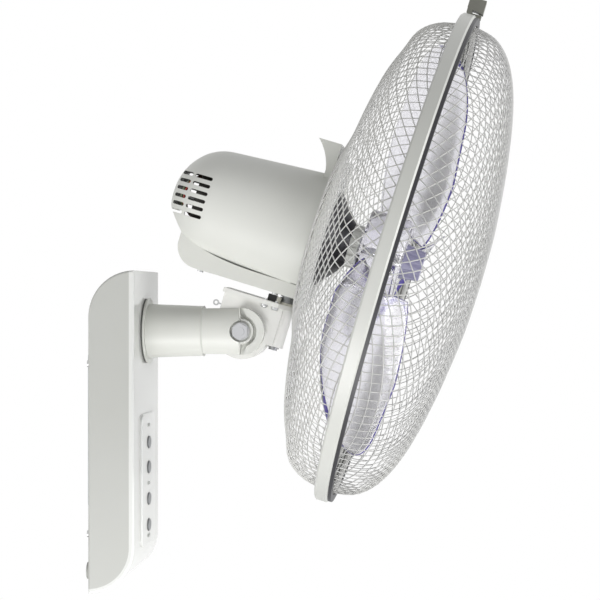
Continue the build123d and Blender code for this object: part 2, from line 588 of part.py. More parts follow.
LINK_PIN_X = LINK_PIN_ORBIT * cos(radians(LINK_PIN_ANGLE))
LINK_PIN_B = LINK_PIN_ORBIT * sin(radians(LINK_PIN_ANGLE))
with BuildPart() as link_pin:
    with BuildSketch(swivel_plane(TOP_PLATE_HIGH)):
        with Locations((LINK_PIN_X, LINK_PIN_B)):
            Circle(LINK_PIN_R)
    extrude(amount=LINK_TOP - TOP_PLATE_HIGH + 0.15)
link_pin.part.label = "link_pin"
export_step(link_pin.part, "parts/link_pin.step")

LOOP_A, LOOP_P, LOOP_R, LOOP_WIRE_R = -146.6, -84.5, 2.1, 0.7
with BuildPart() as cable_loop:
    with BuildSketch(HEAD_SIDE):
        with Locations((LOOP_A, LOOP_P)):
            Circle(LOOP_R + LOOP_WIRE_R)
            Circle(LOOP_R - LOOP_WIRE_R, mode=Mode.SUBTRACT)
        with Locations((LOOP_A + LOOP_R, LOOP_P)):
            Rectangle(TILT_A - KNUCKLE_R - LOOP_A - LOOP_R, 2 * LOOP_WIRE_R, align=(Align.MIN, Align.CENTER))
    extrude(amount=LOOP_WIRE_R, both=True)
cable_loop.part.label = "cable_loop"
export_step(cable_loop.part, "parts/cable_loop.step")

# ======== head: motor, its housing and the swivel ========

SPINDLE_LOW, SPINDLE_TOP, SPINDLE_RING_R = POST_LOW - 3.5, -50.0, 5.4
with BuildPart() as swivel_spindle:
    with BuildSketch(swivel_plane(SPINDLE_LOW)):
        Circle(SWIVEL_R)
    extrude(amount=SPINDLE_TOP - SPINDLE_LOW)
swivel_spindle.part.label = "swivel_spindle"
export_step(swivel_spindle.part, "parts/swivel_spindle.step")

with BuildPart() as spindle_ring:
    with BuildSketch(swivel_plane(POST_LOW - 0.3)):
        Circle(SPINDLE_RING_R)
        Circle(SWIVEL_R, mode=Mode.SUBTRACT)
    extrude(amount=-1.2)
spindle_ring.part.label = "spindle_ring"
export_step(spindle_ring.part, "parts/spindle_ring.step")

HUB_LOW, HUB_RIB_R, HUB_NECK_R = TOP_PLATE_HIGH + 2.3, 7.0, 5.5
YOKE_LOW, YOKE_X = -54.0, 9.0
with BuildPart() as swivel_yoke:
    with BuildSketch(swivel_plane(YOKE_LOW)):
        with Locations((0, 9.5)):
            Rectangle(2 * YOKE_X, 31)
    extrude(amount=4)
    with BuildSketch(swivel_plane(YOKE_LOW + 4)):
        with Locations((0, 15)):
            Rectangle(2 * YOKE_X, 20)
    extrude(amount=14)
    with BuildSketch(face_plane(SHELL_FRONT)):
        Circle(BELL_R + 0.02)
    extrude(amount=-60, mode=Mode.SUBTRACT)
    with BuildSketch(swivel_plane(HUB_LOW)):
        Circle(HUB_NECK_R)
    extrude(amount=YOKE_LOW - HUB_LOW)
    for rib in range(3):
        with BuildSketch(swivel_plane(HUB_LOW + 2.3 * rib)):
            Circle(HUB_RIB_R)
        extrude(amount=1.4)
    with BuildSketch(swivel_plane(HUB_LOW)):
        Circle(SWIVEL_R)
    extrude(amount=SPINDLE_TOP - HUB_LOW, mode=Mode.SUBTRACT)
swivel_yoke.part.label = "swivel_yoke"
export_step(swivel_yoke.part, "parts/swivel_yoke.step")

SKIRT_REAR, SKIRT_BEND, SKIRT_THIN = -191.0, 20.0, 0.6
SEAM_POINTS = ((SKIRT_FRONT, -48.0), (-118.0, -47.4), (-150.0, -45.0), (-174.0, -39.5), (SKIRT_REAR, -32.0))
# behind the seam the shell ends in a flat slanted wall that runs up to the tail
TAIL_CUT = (-231.0, 12.0)
DOME_LEN = SHELL_BACK - SHELL_TAIL


def shell_profile(inset):
    """Half profile of the motor shell in (a, r): a gentle cone closed by a round dome."""
    with BuildLine() as outline:
        Polyline((SHELL_BACK, 0), (SHELL_FRONT, 0), (SHELL_FRONT, SHELL_R - inset),
                 (SHELL_BACK, SHELL_BACK_R - inset))
        Spline((SHELL_BACK, SHELL_BACK_R - inset),
               (SHELL_BACK - 0.7071 * (DOME_LEN - inset), 0.7071 * (SHELL_BACK_R - inset)),
               (SHELL_TAIL + inset, 0), tangents=((-1, -0.06), (0, -1)))
        Line((SHELL_TAIL + inset, 0), (SHELL_BACK, 0))
    return outline.line


def skirt_profile(inset, closed_by_seam):
    """Side profile of the skirt in (a, p): the seam above, a flat floor, and a round rear corner."""
    rear, floor = SKIRT_REAR + inset, SKIRT_BOTTOM + inset
    front = SKIRT_FRONT - SKIRT_THIN * inset
    top = SEAM_POINTS[-1][1]
    with BuildLine() as outline:
        if closed_by_seam:
            Spline(*SEAM_POINTS)
            Line((front, SEAM_POINTS[0][1]), (front, floor))
        else:
            Polyline((rear, top), (front, top), (front, floor))
        Line((front, floor), (rear + SKIRT_BEND, floor))
        RadiusArc((rear + SKIRT_BEND, floor), (rear, floor + SKIRT_BEND), SKIRT_BEND)
        Line((rear, floor + SKIRT_BEND), (rear, top))
    return outline.line


SKIRT_SCREWS = tuple((x, b) for x in (-23.0, 23.0) for b in (10.0, 80.0))
SKIRT_BOSS_R, SKIRT_SCREW_R = 3.5, 1.4
with BuildPart() as shell_hollow:
    with BuildSketch(HEAD_SIDE):
        add(make_face(shell_profile(SHELL_WALL)))
    revolve(axis=FAN_AXIS)
    with BuildSketch(HEAD_SIDE):
        with BuildLine():
            Polyline((SKIRT_REAR + 0.7 * SHELL_WALL, -80), (SKIRT_REAR + 0.7 * SHELL_WALL, -32 + 0.7 * SHELL_WALL),
                     (TAIL_CUT[0] + 0.7 * SHELL_WALL, TAIL_CUT[1] + 0.7 * SHELL_WALL), (TAIL_CUT[0], -80),
                     close=True)
        make_face()
    extrude(amount=SHELL_R * 2, both=True, mode=Mode.SUBTRACT)

with BuildPart() as motor_shell:
    with BuildSketch(HEAD_SIDE):
        add(make_face(shell_profile(0)))
    revolve(axis=FAN_AXIS)
    add(shell_hollow.part, mode=Mode.SUBTRACT)
    # bosses for the skirt screws, inside the wall
    with BuildSketch(swivel_plane(SKIRT_BOTTOM)):
        with Locations(*SKIRT_SCREWS):
            Circle(SKIRT_BOSS_R)
    extrude(amount=-SKIRT_BOTTOM - 39)
    with BuildSketch(HEAD_SIDE):
        with BuildLine():
            Spline(*SEAM_POINTS)
            Polyline(SEAM_POINTS[-1], TAIL_CUT, (TAIL_CUT[0], -80), (-60, -80), (-60, SEAM_POINTS[0][1]),
                     SEAM_POINTS[0])
        make_face()
    extrude(amount=SHELL_R * 2, both=True, mode=Mode.SUBTRACT)
    with BuildSketch(swivel_plane(SKIRT_BOTTOM)):
        with Locations(*SKIRT_SCREWS):
            Circle(SKIRT_SCREW_R + 0.05)
    extrude(amount=-SKIRT_BOTTOM - 41, mode=Mode.SUBTRACT)
    # two columns of louvres on each side of the dome
    with BuildSketch(HEAD_SIDE):
        for row in range(VENT_ROWS):
            p = VENT_TOP_P - VENT_PITCH * row
            with Locations((VENT_NEAR_A, p)):
                SlotOverall(VENT_NEAR_L, VENT_H)
            with Locations((VENT_FAR_A, p)):
                SlotOverall(VENT_FAR_L, VENT_H)
    extrude(amount=SHELL_R * 2, both=True, mode=Mode.SUBTRACT)
motor_shell.part.label = "motor_shell"
export_step(motor_shell.part, "parts/motor_shell.step")

with BuildPart() as motor_skirt:
    with BuildSketch(HEAD_SIDE):
        add(make_face(skirt_profile(0, True)))
    extrude(amount=SKIRT_X, both=True)
    with BuildSketch(HEAD_SIDE):
        add(make_face(skirt_profile(SHELL_WALL, False)))
    extrude(amount=SKIRT_X - SHELL_WALL, both=True, mode=Mode.SUBTRACT)
    with BuildSketch(swivel_plane(SKIRT_BOTTOM)):
        with Locations(*SKIRT_SCREWS):
            Circle(SKIRT_BOSS_R)
    extrude(amount=12)
    with BuildSketch(HEAD_SIDE):
        add(make_face(skirt_profile(0, True)))
    extrude(amount=SKIRT_X, both=True, mode=Mode.INTERSECT)
    # hole for the swivel hub, curved slot for the link pin, screw holes
    with BuildSketch(swivel_plane(SKIRT_BOTTOM)):
        Circle(HUB_RIB_R + 0.6)
        with BuildLine():
            CenterArc((0, 0), LINK_PIN_ORBIT, LINK_PIN_ANGLE - SWING, 2 * SWING)
        trace(line_width=2 * LINK_PIN_R + 1.4)
        with PolarLocations(LINK_PIN_ORBIT, 2, LINK_PIN_ANGLE - SWING, 2 * SWING, endpoint=True):
            Circle(LINK_PIN_R + 0.7)
        with Locations(*SKIRT_SCREWS):
            Circle(SKIRT_SCREW_R + 0.05)
    extrude(amount=SHELL_WALL, mode=Mode.SUBTRACT)
    with BuildSketch(swivel_plane(SKIRT_BOTTOM)):
        with Locations(*SKIRT_SCREWS):
            Circle(SKIRT_SCREW_R + 0.05)
    extrude(amount=24, mode=Mode.SUBTRACT)
motor_skirt.part.label = "motor_skirt"
export_step(motor_skirt.part, "parts/motor_skirt.step")

with BuildPart() as skirt_screws:
    with BuildSketch(swivel_plane(SKIRT_BOTTOM)):
        with Locations(*SKIRT_SCREWS):
            Circle(2.8)
    extrude(amount=-1.6)
    with BuildSketch(swivel_plane(SKIRT_BOTTOM)):
        with Locations(*SKIRT_SCREWS):
            Circle(SKIRT_SCREW_R)
    extrude(amount=17)
skirt_screws.part.label = "skirt_screws"
export_step(skirt_screws.part, "parts/skirt_screws.step")

# ======== motor inside the shell ========

BELL_LAP, BELL_REAR = 7.0, -185.0
BELL_BORE = STATOR_R + 0.2
with BuildPart() as motor_stator:
    with BuildSketch(face_plane(STATOR_BACK)):
        Circle(STATOR_R)
        Circle(21, mode=Mode.SUBTRACT)
        with PolarLocations(24, 12):
            Rectangle(5, 3, mode=Mode.SUBTRACT)
    extrude(amount=STATOR_FRONT - STATOR_BACK)
motor_stator.part.label = "motor_stator"
export_step(motor_stator.part, "parts/motor_stator.step")

with BuildPart() as motor_windings:
    for start, length in ((STATOR_FRONT, 10), (STATOR_BACK, -10)):
        with BuildSketch(face_plane(start)):
            Circle(32)
            Circle(22, mode=Mode.SUBTRACT)
        extrude(amount=length)
motor_windings.part.label = "motor_windings"
export_step(motor_windings.part, "parts/motor_windings.step")

FRONT_SEAT = SHELL_FRONT - BELL_WALL
REAR_SEAT = BELL_REAR + BELL_WALL
with BuildPart() as front_bell:
    with BuildSketch(HEAD_SIDE):
        with BuildLine():
            Polyline((BOSS_END, BOSS_BORE_R), (BOSS_END, BOSS_R), (SHELL_FRONT, BOSS_R),
                     (SHELL_FRONT, BELL_R), (STATOR_FRONT - BELL_LAP, BELL_R),
                     (STATOR_FRONT - BELL_LAP, BELL_BORE), (FRONT_SEAT, BELL_BORE),
                     (FRONT_SEAT, BEARING_R + 3), (FRONT_SEAT - BEARING_T, BEARING_R + 3),
                     (FRONT_SEAT - BEARING_T, BEARING_R), (FRONT_SEAT, BEARING_R),
                     (FRONT_SEAT, BOSS_BORE_R), close=True)
        make_face()
    revolve(axis=FAN_AXIS)
front_bell.part.label = "front_bell"
export_step(front_bell.part, "parts/front_bell.step")

SWING_MOTOR_X, SWING_MOTOR_R, SWING_MOTOR_TOP = 1.0, 14.0, -41.0
with BuildPart() as rear_bell:
    with BuildSketch(HEAD_SIDE):
        with BuildLine():
            Polyline((BELL_REAR, BOSS_BORE_R), (BELL_REAR, BELL_R), (STATOR_BACK + BELL_LAP, BELL_R),
                     (STATOR_BACK + BELL_LAP, BELL_BORE), (REAR_SEAT, BELL_BORE),
                     (REAR_SEAT, BEARING_R + 3), (REAR_SEAT + BEARING_T, BEARING_R + 3),
                     (REAR_SEAT + BEARING_T, BEARING_R), (REAR_SEAT, BEARING_R),
                     (REAR_SEAT, BOSS_BORE_R), close=True)
        make_face()
    revolve(axis=FAN_AXIS)
    # seat that the swing motor hangs from
    with BuildSketch(swivel_plane(SWING_MOTOR_TOP)):
        with Locations((0, SWIVEL_A - STATOR_BACK - 2)):
            Rectangle(12, 8)
    extrude(amount=-SWING_MOTOR_TOP - BELL_R + 1.5)
rear_bell.part.label = "rear_bell"
export_step(rear_bell.part, "parts/rear_bell.step")

# the two bearings, pressed into the bells
with BuildPart() as motor_bearings:
    with BuildSketch(face_plane(FRONT_SEAT)):
        Circle(BEARING_R)
        Circle(SHAFT_R + SHAFT_CLEAR, mode=Mode.SUBTRACT)
    extrude(amount=-BEARING_T)
    with BuildSketch(face_plane(REAR_SEAT)):
        Circle(BEARING_R)
        Circle(SHAFT_R + SHAFT_CLEAR, mode=Mode.SUBTRACT)
    extrude(amount=BEARING_T)
motor_bearings.part.label = "motor_bearings"
export_step(motor_bearings.part, "parts/motor_bearings.step")

CRANK_X, CRANK_B = LINK_PIN_X - CRANK_ARM, LINK_PIN_B + LINK_LEN
CRANK_LOW, CRANK_T, SWING_MOTOR_LOW = LINK_TOP + 0.3, 2.7, -51.0
with BuildPart() as swing_motor:
    with BuildSketch(swivel_plane(SWING_MOTOR_LOW)):
        with Locations((SWING_MOTOR_X, CRANK_B)):
            Circle(SWING_MOTOR_R)
    extrude(amount=SWING_MOTOR_TOP - SWING_MOTOR_LOW)
    with BuildSketch(swivel_plane(SWING_MOTOR_LOW)):
        with Locations((CRANK_X, CRANK_B)):
            Circle(2.54)
    extrude(amount=4, mode=Mode.SUBTRACT)
swing_motor.part.label = "swing_motor"
export_step(swing_motor.part, "parts/swing_motor.step")

# ======== swing linkage: crank on the swing motor, link to the neck ========

with BuildPart() as crank_disc:
    with BuildSketch(swivel_plane(CRANK_LOW)):
        with Locations((CRANK_X, CRANK_B)):
            Circle(CRANK_R)
    extrude(amount=CRANK_T)
    with BuildSketch(swivel_plane(CRANK_LOW + CRANK_T)):
        with Locations((CRANK_X, CRANK_B)):
            Circle(2.5)
    extrude(amount=3.4)
    with BuildSketch(swivel_plane(CRANK_LOW)):
        with Locations((CRANK_X + CRANK_ARM, CRANK_B)):
            Circle(CRANK_PIN_R)
    extrude(amount=-LINK_T - 0.6)
crank_disc.part.label = "crank_disc"
export_step(crank_disc.part, "parts/crank_disc.step")

with BuildPart() as swing_link:
    with BuildSketch(swivel_plane(LINK_TOP - LINK_T)):
        with Locations((LINK_PIN_X, LINK_PIN_B + LINK_LEN / 2)):
            Rectangle(LINK_W, LINK_LEN)
        with Locations((LINK_PIN_X, LINK_PIN_B)):
            Circle(LINK_W / 2)
        with Locations((LINK_PIN_X, CRANK_B)):
            Circle(OPEN_EYE_R + 2)
            Circle(OPEN_EYE_R, mode=Mode.SUBTRACT)
        with Locations((LINK_PIN_X, LINK_PIN_B)):
            Circle(LINK_PIN_R + 0.04, mode=Mode.SUBTRACT)
    extrude(amount=LINK_T)
swing_link.part.label = "swing_link"
export_step(swing_link.part, "parts/swing_link.step")

# ======== dish, guards, ring and clip ========

DISH_FLAT, CREST_TOP, CREST_X, CREST_BACK = -47.2, 83.0, 22.0, -98.0
PLATE_BACK, CREST_FRONT = SKIRT_FRONT, SKIRT_FRONT - 0.6
with BuildPart() as guard_dish:
    with BuildSketch(face_plane(SHELL_FRONT)):
        Circle(SHELL_R)
        with Locations((0, DISH_FLAT)):
            Rectangle(4 * SHELL_R, SHELL_R, align=(Align.CENTER, Align.MAX), mode=Mode.SUBTRACT)
        Circle(BOSS_R + 0.1, mode=Mode.SUBTRACT)
    extrude(amount=PLATE_BACK - SHELL_FRONT)
    # crest over the front of the motor
    with BuildSketch(HEAD_SIDE):
        with BuildLine():
            Line((CREST_FRONT, SHELL_R - 6), (SHELL_FRONT, SHELL_R - 6))
            Line((SHELL_FRONT, SHELL_R - 6), (SHELL_FRONT, SHELL_R + 2))
            RadiusArc((SHELL_FRONT, SHELL_R + 2), (CREST_BACK, CREST_TOP), -45)
            Polyline((CREST_BACK, CREST_TOP), (CREST_FRONT, CREST_TOP), (CREST_FRONT, SHELL_R - 6))
        make_face()
    extrude(amount=CREST_X, both=True)
guard_dish.part.label = "guard_dish"
export_step(guard_dish.part, "parts/guard_dish.step")

# profiles of the two cages in (a, r), from the middle out to the rim hoop
REAR_DOME = ((-75.0, 72.0), (-68.0, 100.0), (-63.5, 120.0), (-59.6, 140.0), (-53.3, 165.0), (-45.0, 185.0),
             (-38.0, 200.0), (-27.0, 209.0), (-5.0, 214.8))
FRONT_DOME = ((76.0, 0.0), (74.5, 45.0), (70.3, 90.0), (66.5, 115.0), (62.0, 140.0), (55.5, 165.0),
              (47.5, 186.0), (38.0, 202.0), (26.0, 210.0), (5.0, 214.8))
NET_HALF = int(0.94 * RING_IN / NET_PITCH + 0.5)
NET_OFFSETS = [NET_PITCH * (i + 0.5) for i in range(-NET_HALF, NET_HALF)]


def bar_plane(turn, offset):
    """Plane of one net bar: local x runs along the bar, local y along the fan axis."""
    angle = radians(NET_TURN + turn)
    along = Vector(cos(angle), 0, 0) + ABOVE * sin(angle)
    across = Vector(-sin(angle), 0, 0) + ABOVE * cos(angle)
    return Plane(origin=CENTRE + across * offset, x_dir=along, z_dir=across * -1)


def dome_height(dome, radius):
    """Position along the fan axis of a dome at a radius, from straight runs between its points."""
    for (a_in, r_in), (a_out, r_out) in zip(dome, dome[1:]):
        if radius <= r_out:
            return a_in + (a_out - a_in) * (radius - r_in) / (r_out - r_in)
    return dome[-1][0]


def bar_points(dome, offset, side):
    """Points of half a bar: its inner end, each crossing with the other bars, and its two rim bends."""
    rim_in, rim_out = dome[-2][1], dome[-1][1]
    start = sqrt(max(dome[0][1] ** 2 - offset**2, 0))
    reach = sqrt(rim_in**2 - offset**2)
    crossings = [s for s in NET_OFFSETS if start + 1 < s < reach - NET_PITCH / 4]
    along = [start, *crossings, reach, sqrt(rim_out**2 - offset**2)]
    return [(side * s, dome_height(dome, sqrt(s * s + offset**2))) for s in along]


with BuildPart() as rear_guard:
    for turn in (0, 90):
        for offset in NET_OFFSETS:
            for side in (-1, 1):
                with BuildSketch(bar_plane(turn, offset)):
                    with BuildLine():
                        Polyline(*bar_points(REAR_DOME, offset, side))
                    trace(line_width=WIRE_SKIN)
    extrude(amount=NET_BAR / 2, both=True)
    # rim hoop and the plate in the middle
    with BuildSketch(face_plane(-RIB_T)):
        Circle(HOOP_R)
        Circle(HOOP_R - HOOP_W, mode=Mode.SUBTRACT)
    extrude(amount=-HOOP_T)
    with BuildSketch(face_plane(PLATE_BACK)):
        Circle(GUARD_PLATE_R)
        Circle(BOSS_R + 0.3, mode=Mode.SUBTRACT)
    extrude(amount=GUARD_PLATE_T)
rear_guard.part.label = "rear_guard"
export_step(rear_guard.part, "parts/rear_guard.step")

with BuildPart() as front_guard:
    for turn in (0, 90):
        for offset in NET_OFFSETS:
            for side in (-1, 1):
                with BuildSketch(bar_plane(turn, offset)):
                    with BuildLine():
                        Polyline(*bar_points(FRONT_DOME, offset, side))
                    trace(line_width=WIRE_SKIN)
    extrude(amount=NET_BAR / 2, both=True)
    with BuildSketch(face_plane(RIB_T)):
        Circle(HOOP_R)
        Circle(HOOP_R - HOOP_W, mode=Mode.SUBTRACT)
    extrude(amount=HOOP_T)
front_guard.part.label = "front_guard"
export_step(front_guard.part, "parts/front_guard.step")

CLAMP_BACK = PLATE_BACK + GUARD_PLATE_T
CONE_BACK = CLAMP_BACK + CLAMP_T
with BuildPart() as clamp_plate:
    with BuildSketch(face_plane(CLAMP_BACK)):
        Circle(CLAMP_R)
        Circle(BOSS_R + 0.1, mode=Mode.SUBTRACT)
    extrude(amount=CLAMP_T)
    fillet(clamp_plate.edges().filter_by(GeomType.CIRCLE).sort_by(SortBy.RADIUS)[-2:], 2)
clamp_plate.part.label = "clamp_plate"
export_step(clamp_plate.part, "parts/clamp_plate.step")

with BuildPart() as clamp_cone:
    with BuildSketch(HEAD_SIDE):
        with BuildLine():
            Polyline((CONE_BACK, BOSS_R + 0.1), (CONE_BACK, CONE_BACK_R), (CONE_BACK + CONE_T, CONE_FRONT_R),
                     (CONE_BACK + CONE_T, BOSS_R + 0.1), close=True)
        make_face()
    revolve(axis=FAN_AXIS)
clamp_cone.part.label = "clamp_cone"
export_step(clamp_cone.part, "parts/clamp_cone.step")

with BuildPart() as guard_nut:
    with BuildSketch(face_plane(CONE_BACK + CONE_T)):
        Circle(CONE_FRONT_R)
        with PolarLocations(CONE_FRONT_R, 16):
            Circle(1.8, mode=Mode.SUBTRACT)
        Circle(BOSS_R + 0.05, mode=Mode.SUBTRACT)
    extrude(amount=BOSS_END - CONE_BACK - CONE_T)
guard_nut.part.label = "guard_nut"
export_step(guard_nut.part, "parts/guard_nut.step")

with BuildPart() as guard_ring:
    with BuildSketch(face_plane(RING_BACK)):
        Circle(RING_OUT)
        Circle(RING_IN, mode=Mode.SUBTRACT)
    extrude(amount=RING_FRONT - TRIM_T - RING_BACK)
    chamfer(guard_ring.edges().filter_by(GeomType.CIRCLE).sort_by(SortBy.RADIUS)[-2:], 1.5)
    # inner rib that keeps the two hoops apart
    with BuildSketch(face_plane(-RIB_T + 0.2)):
        Circle(RING_IN)
        Circle(HOOP_R - HOOP_W, mode=Mode.SUBTRACT)
    extrude(amount=2 * RIB_T - 0.4)
guard_ring.part.label = "guard_ring"
export_step(guard_ring.part, "parts/guard_ring.step")

with BuildPart() as ring_trim:
    with BuildSketch(face_plane(RING_FRONT - TRIM_T)):
        Circle(RING_OUT - 1.5)
        Circle(RING_IN, mode=Mode.SUBTRACT)
    extrude(amount=TRIM_T)
ring_trim.part.label = "ring_trim"
export_step(ring_trim.part, "parts/ring_trim.step")

CLIP_PIN_A, CLIP_PIN_P, CLIP_PIN_R = -4.0, RING_OUT + 3.5, 1.25
CLIP_BASE_X = 4.0
with BuildPart() as clip_base:
    with BuildSketch(HEAD_SIDE):
        with Locations((3, RING_OUT - 3)):
            Rectangle(9, 6.5, align=(Align.CENTER, Align.MIN))
        with Locations((CLIP_PIN_A, CLIP_PIN_P)):
            Circle(1.9)
        with Locations((CLIP_PIN_A, RING_OUT - 3)):
            Rectangle(6, 6.5, align=(Align.MIN, Align.MIN))
    extrude(amount=CLIP_BASE_X, both=True)
    with BuildSketch(face_plane(RING_BACK - 2)):
        Circle(RING_OUT + 0.02)
    extrude(amount=RING_FRONT - RING_BACK + 4, mode=Mode.SUBTRACT)
    with BuildSketch(HEAD_SIDE):
        with Locations((CLIP_PIN_A, CLIP_PIN_P)):
            Circle(CLIP_PIN_R)
    extrude(amount=CLIP_W / 2, both=True)
clip_base.part.label = "clip_base"
export_step(clip_base.part, "parts/clip_base.step")

with BuildPart() as guard_clip:
    with BuildSketch(HEAD_SIDE):
        with BuildLine():
            Polyline((-5.2, CLIP_PIN_P + 2.4), (-6.7, CLIP_PIN_P + 4), (-6.7, CLIP_HIGH), (8.3, CLIP_HIGH),
                     (8.3, CLIP_PIN_P + 1.2), (1, CLIP_PIN_P + 2.4), close=True)
        make_face()
    extrude(amount=CLIP_W / 2, both=True)
    # ears that reach down beside the base to the hinge pin
    with BuildSketch(HEAD_SIDE):
        with Locations((CLIP_PIN_A, CLIP_PIN_P)):
            Circle(2.4)
            Rectangle(4.8, 4, align=(Align.CENTER, Align.MIN))
    extrude(amount=CLIP_W / 2, both=True)
    with BuildSketch(HEAD_SIDE):
        with Locations((0, CLIP_PIN_P - 3)):
            Rectangle(30, 5.3, align=(Align.CENTER, Align.MIN))
    extrude(amount=CLIP_BASE_X + 0.15, both=True, mode=Mode.SUBTRACT)
    with BuildSketch(HEAD_SIDE):
        with Locations((CLIP_PIN_A, CLIP_PIN_P)):
            Circle(CLIP_PIN_R + 0.05)
    extrude(amount=CLIP_W, both=True, mode=Mode.SUBTRACT)
guard_clip.part.label = "guard_clip"
export_step(guard_clip.part, "parts/guard_clip.step")

# ======== rotor: shaft, core, blade and nut ========

SHAFT_BACK, SHAFT_FRONT = -205.0, 18.0
DRIVE_PIN_A, DRIVE_PIN_R, SLEEVE_R = BLADE_HUB_BACK + 2.5, 1.5, 9.0
with BuildPart() as motor_shaft:
    with BuildSketch(face_plane(SHAFT_BACK)):
        Circle(SHAFT_R)
    extrude(amount=SHAFT_FRONT - SHAFT_BACK)
    with BuildSketch(HEAD_SIDE):
        with Locations((DRIVE_PIN_A, 0)):
            Circle(DRIVE_PIN_R)
    extrude(amount=SHAFT_R, both=True, mode=Mode.SUBTRACT)
motor_shaft.part.label = "motor_shaft"
export_step(motor_shaft.part, "parts/motor_shaft.step")

with BuildPart() as rotor_core:
    with BuildSketch(face_plane(STATOR_BACK)):
        Circle(20.5)
        Circle(SHAFT_R, mode=Mode.SUBTRACT)
    extrude(amount=STATOR_FRONT - STATOR_BACK)
rotor_core.part.label = "rotor_core"
export_step(rotor_core.part, "parts/rotor_core.step")

with BuildPart() as drive_pin:
    with BuildSketch(cross_plane(-SLEEVE_R, HEAD_SIDE)):
        with Locations((DRIVE_PIN_A, 0)):
            Circle(DRIVE_PIN_R)
    extrude(amount=-2 * SLEEVE_R)
drive_pin.part.label = "drive_pin"
export_step(drive_pin.part, "parts/drive_pin.step")

# blade sections: radius, chord, pitch angle to the disc, camber
BLADE_SECTIONS = ((30.0, 60.0, 45.0, 4.0), (110.0, 130.0, 30.0, 9.0), (200.0, 150.0, 22.0, 9.0))
BLADE_MID_A = -3.0
with BuildPart() as one_blade:
    for radius, chord, pitch, camber in BLADE_SECTIONS:
        chord_dir = Vector(cos(radians(pitch)), 0, 0) - AHEAD * sin(radians(pitch))
        section_plane = Plane(origin=CENTRE + AHEAD * BLADE_MID_A + ABOVE * radius,
                              x_dir=chord_dir, z_dir=ABOVE)
        with BuildSketch(section_plane):
            with BuildLine():
                ThreePointArc((-chord / 2, 0), (0, camber), (chord / 2, 0))
                Line((chord / 2, 0), (chord / 2, BLADE_T))
                ThreePointArc((chord / 2, BLADE_T), (0, camber + BLADE_T), (-chord / 2, BLADE_T))
                Line((-chord / 2, BLADE_T), (-chord / 2, 0))
            make_face()
    loft()
    with BuildSketch(face_plane(-80)):
        Circle(BLADE_TIP_R)
        Circle(BLADE_HUB_R - 1, mode=Mode.SUBTRACT)
    extrude(amount=160, mode=Mode.INTERSECT)

with BuildPart() as fan_blade:
    with BuildSketch(face_plane(BLADE_HUB_BACK)):
        Circle(BLADE_HUB_R)
    extrude(amount=BLADE_HUB_FRONT - BLADE_HUB_BACK)
    fillet(fan_blade.edges().filter_by(GeomType.CIRCLE).sort_by(FAN_AXIS)[-1], 4)
    with BuildSketch(face_plane(BLADE_HUB_BACK)):
        Circle(BLADE_HUB_R - 2.5)
        Circle(SLEEVE_R, mode=Mode.SUBTRACT)
    extrude(amount=BLADE_HUB_FRONT - BLADE_HUB_BACK - 3, mode=Mode.SUBTRACT)
    for blade in range(BLADE_COUNT):
        turn = BLADE_PHASE + 360 / BLADE_COUNT * blade
        add(one_blade.part.rotate(FAN_AXIS, turn))
    with BuildSketch(face_plane(BLADE_HUB_BACK)):
        Circle(SHAFT_R)
    extrude(amount=BLADE_HUB_FRONT - BLADE_HUB_BACK, mode=Mode.SUBTRACT)
    with BuildSketch(HEAD_SIDE):
        with Locations((DRIVE_PIN_A, 0)):
            Rectangle(4 * DRIVE_PIN_R, 2 * DRIVE_PIN_R + 0.1, align=(Align.MAX, Align.CENTER))
            Circle(DRIVE_PIN_R + 0.05)
    extrude(amount=SLEEVE_R, both=True, mode=Mode.SUBTRACT)
fan_blade.part.label = "fan_blade"
export_step(fan_blade.part, "parts/fan_blade.step")

with BuildPart() as blade_nut:
    with BuildSketch(face_plane(BLADE_HUB_FRONT)):
        Circle(BLADE_NUT_R)
        with PolarLocations(BLADE_NUT_R + 0.6, 12):
            Circle(1.6, mode=Mode.SUBTRACT)
    extrude(amount=BLADE_NUT_T, taper=8)
    with BuildSketch(face_plane(BLADE_HUB_FRONT)):
        Circle(SHAFT_R)
    extrude(amount=SHAFT_FRONT - BLADE_HUB_FRONT + 0.5, mode=Mode.SUBTRACT)
blade_nut.part.label = "blade_nut"
export_step(blade_nut.part, "parts/blade_nut.step")
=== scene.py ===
"""A wall mounted fan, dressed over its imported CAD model.

Metres, +Z up, the wall is y = 0 and the fan faces -Y."""

import bmesh
import bpy
import numpy as np
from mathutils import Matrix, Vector


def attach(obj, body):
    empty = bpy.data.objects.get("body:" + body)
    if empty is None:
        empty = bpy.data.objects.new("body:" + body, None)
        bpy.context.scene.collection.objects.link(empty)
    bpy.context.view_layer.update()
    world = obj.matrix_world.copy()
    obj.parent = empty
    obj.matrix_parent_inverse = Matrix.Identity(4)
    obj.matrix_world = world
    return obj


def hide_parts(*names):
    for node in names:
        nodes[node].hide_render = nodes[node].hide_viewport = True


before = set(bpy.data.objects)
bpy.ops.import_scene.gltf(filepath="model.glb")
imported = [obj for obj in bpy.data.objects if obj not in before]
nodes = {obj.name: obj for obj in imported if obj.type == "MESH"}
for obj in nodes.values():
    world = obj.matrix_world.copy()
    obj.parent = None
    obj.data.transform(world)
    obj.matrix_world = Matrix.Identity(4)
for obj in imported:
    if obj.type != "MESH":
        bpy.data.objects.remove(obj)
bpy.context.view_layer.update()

# ---------------------------------------------------------------------------------------------
# Studio: the photograph is a catalogue shot from the side, level with the fan's neck. A white
# surround, one broad lamp low at the side, one in front, and a weak one behind.


def linear(hex_colour):
    """sRGB hex to linear RGBA: a channel c is c / 12.92 below 0.04045, else ((c + 0.055) / 1.055) ** 2.4."""
    c = np.array([int(hex_colour[i:i + 2], 16) for i in (1, 3, 5)]) / 255
    return (*np.where(c < 0.04045, c / 12.92, ((c + 0.055) / 1.055) ** 2.4), 1.0)


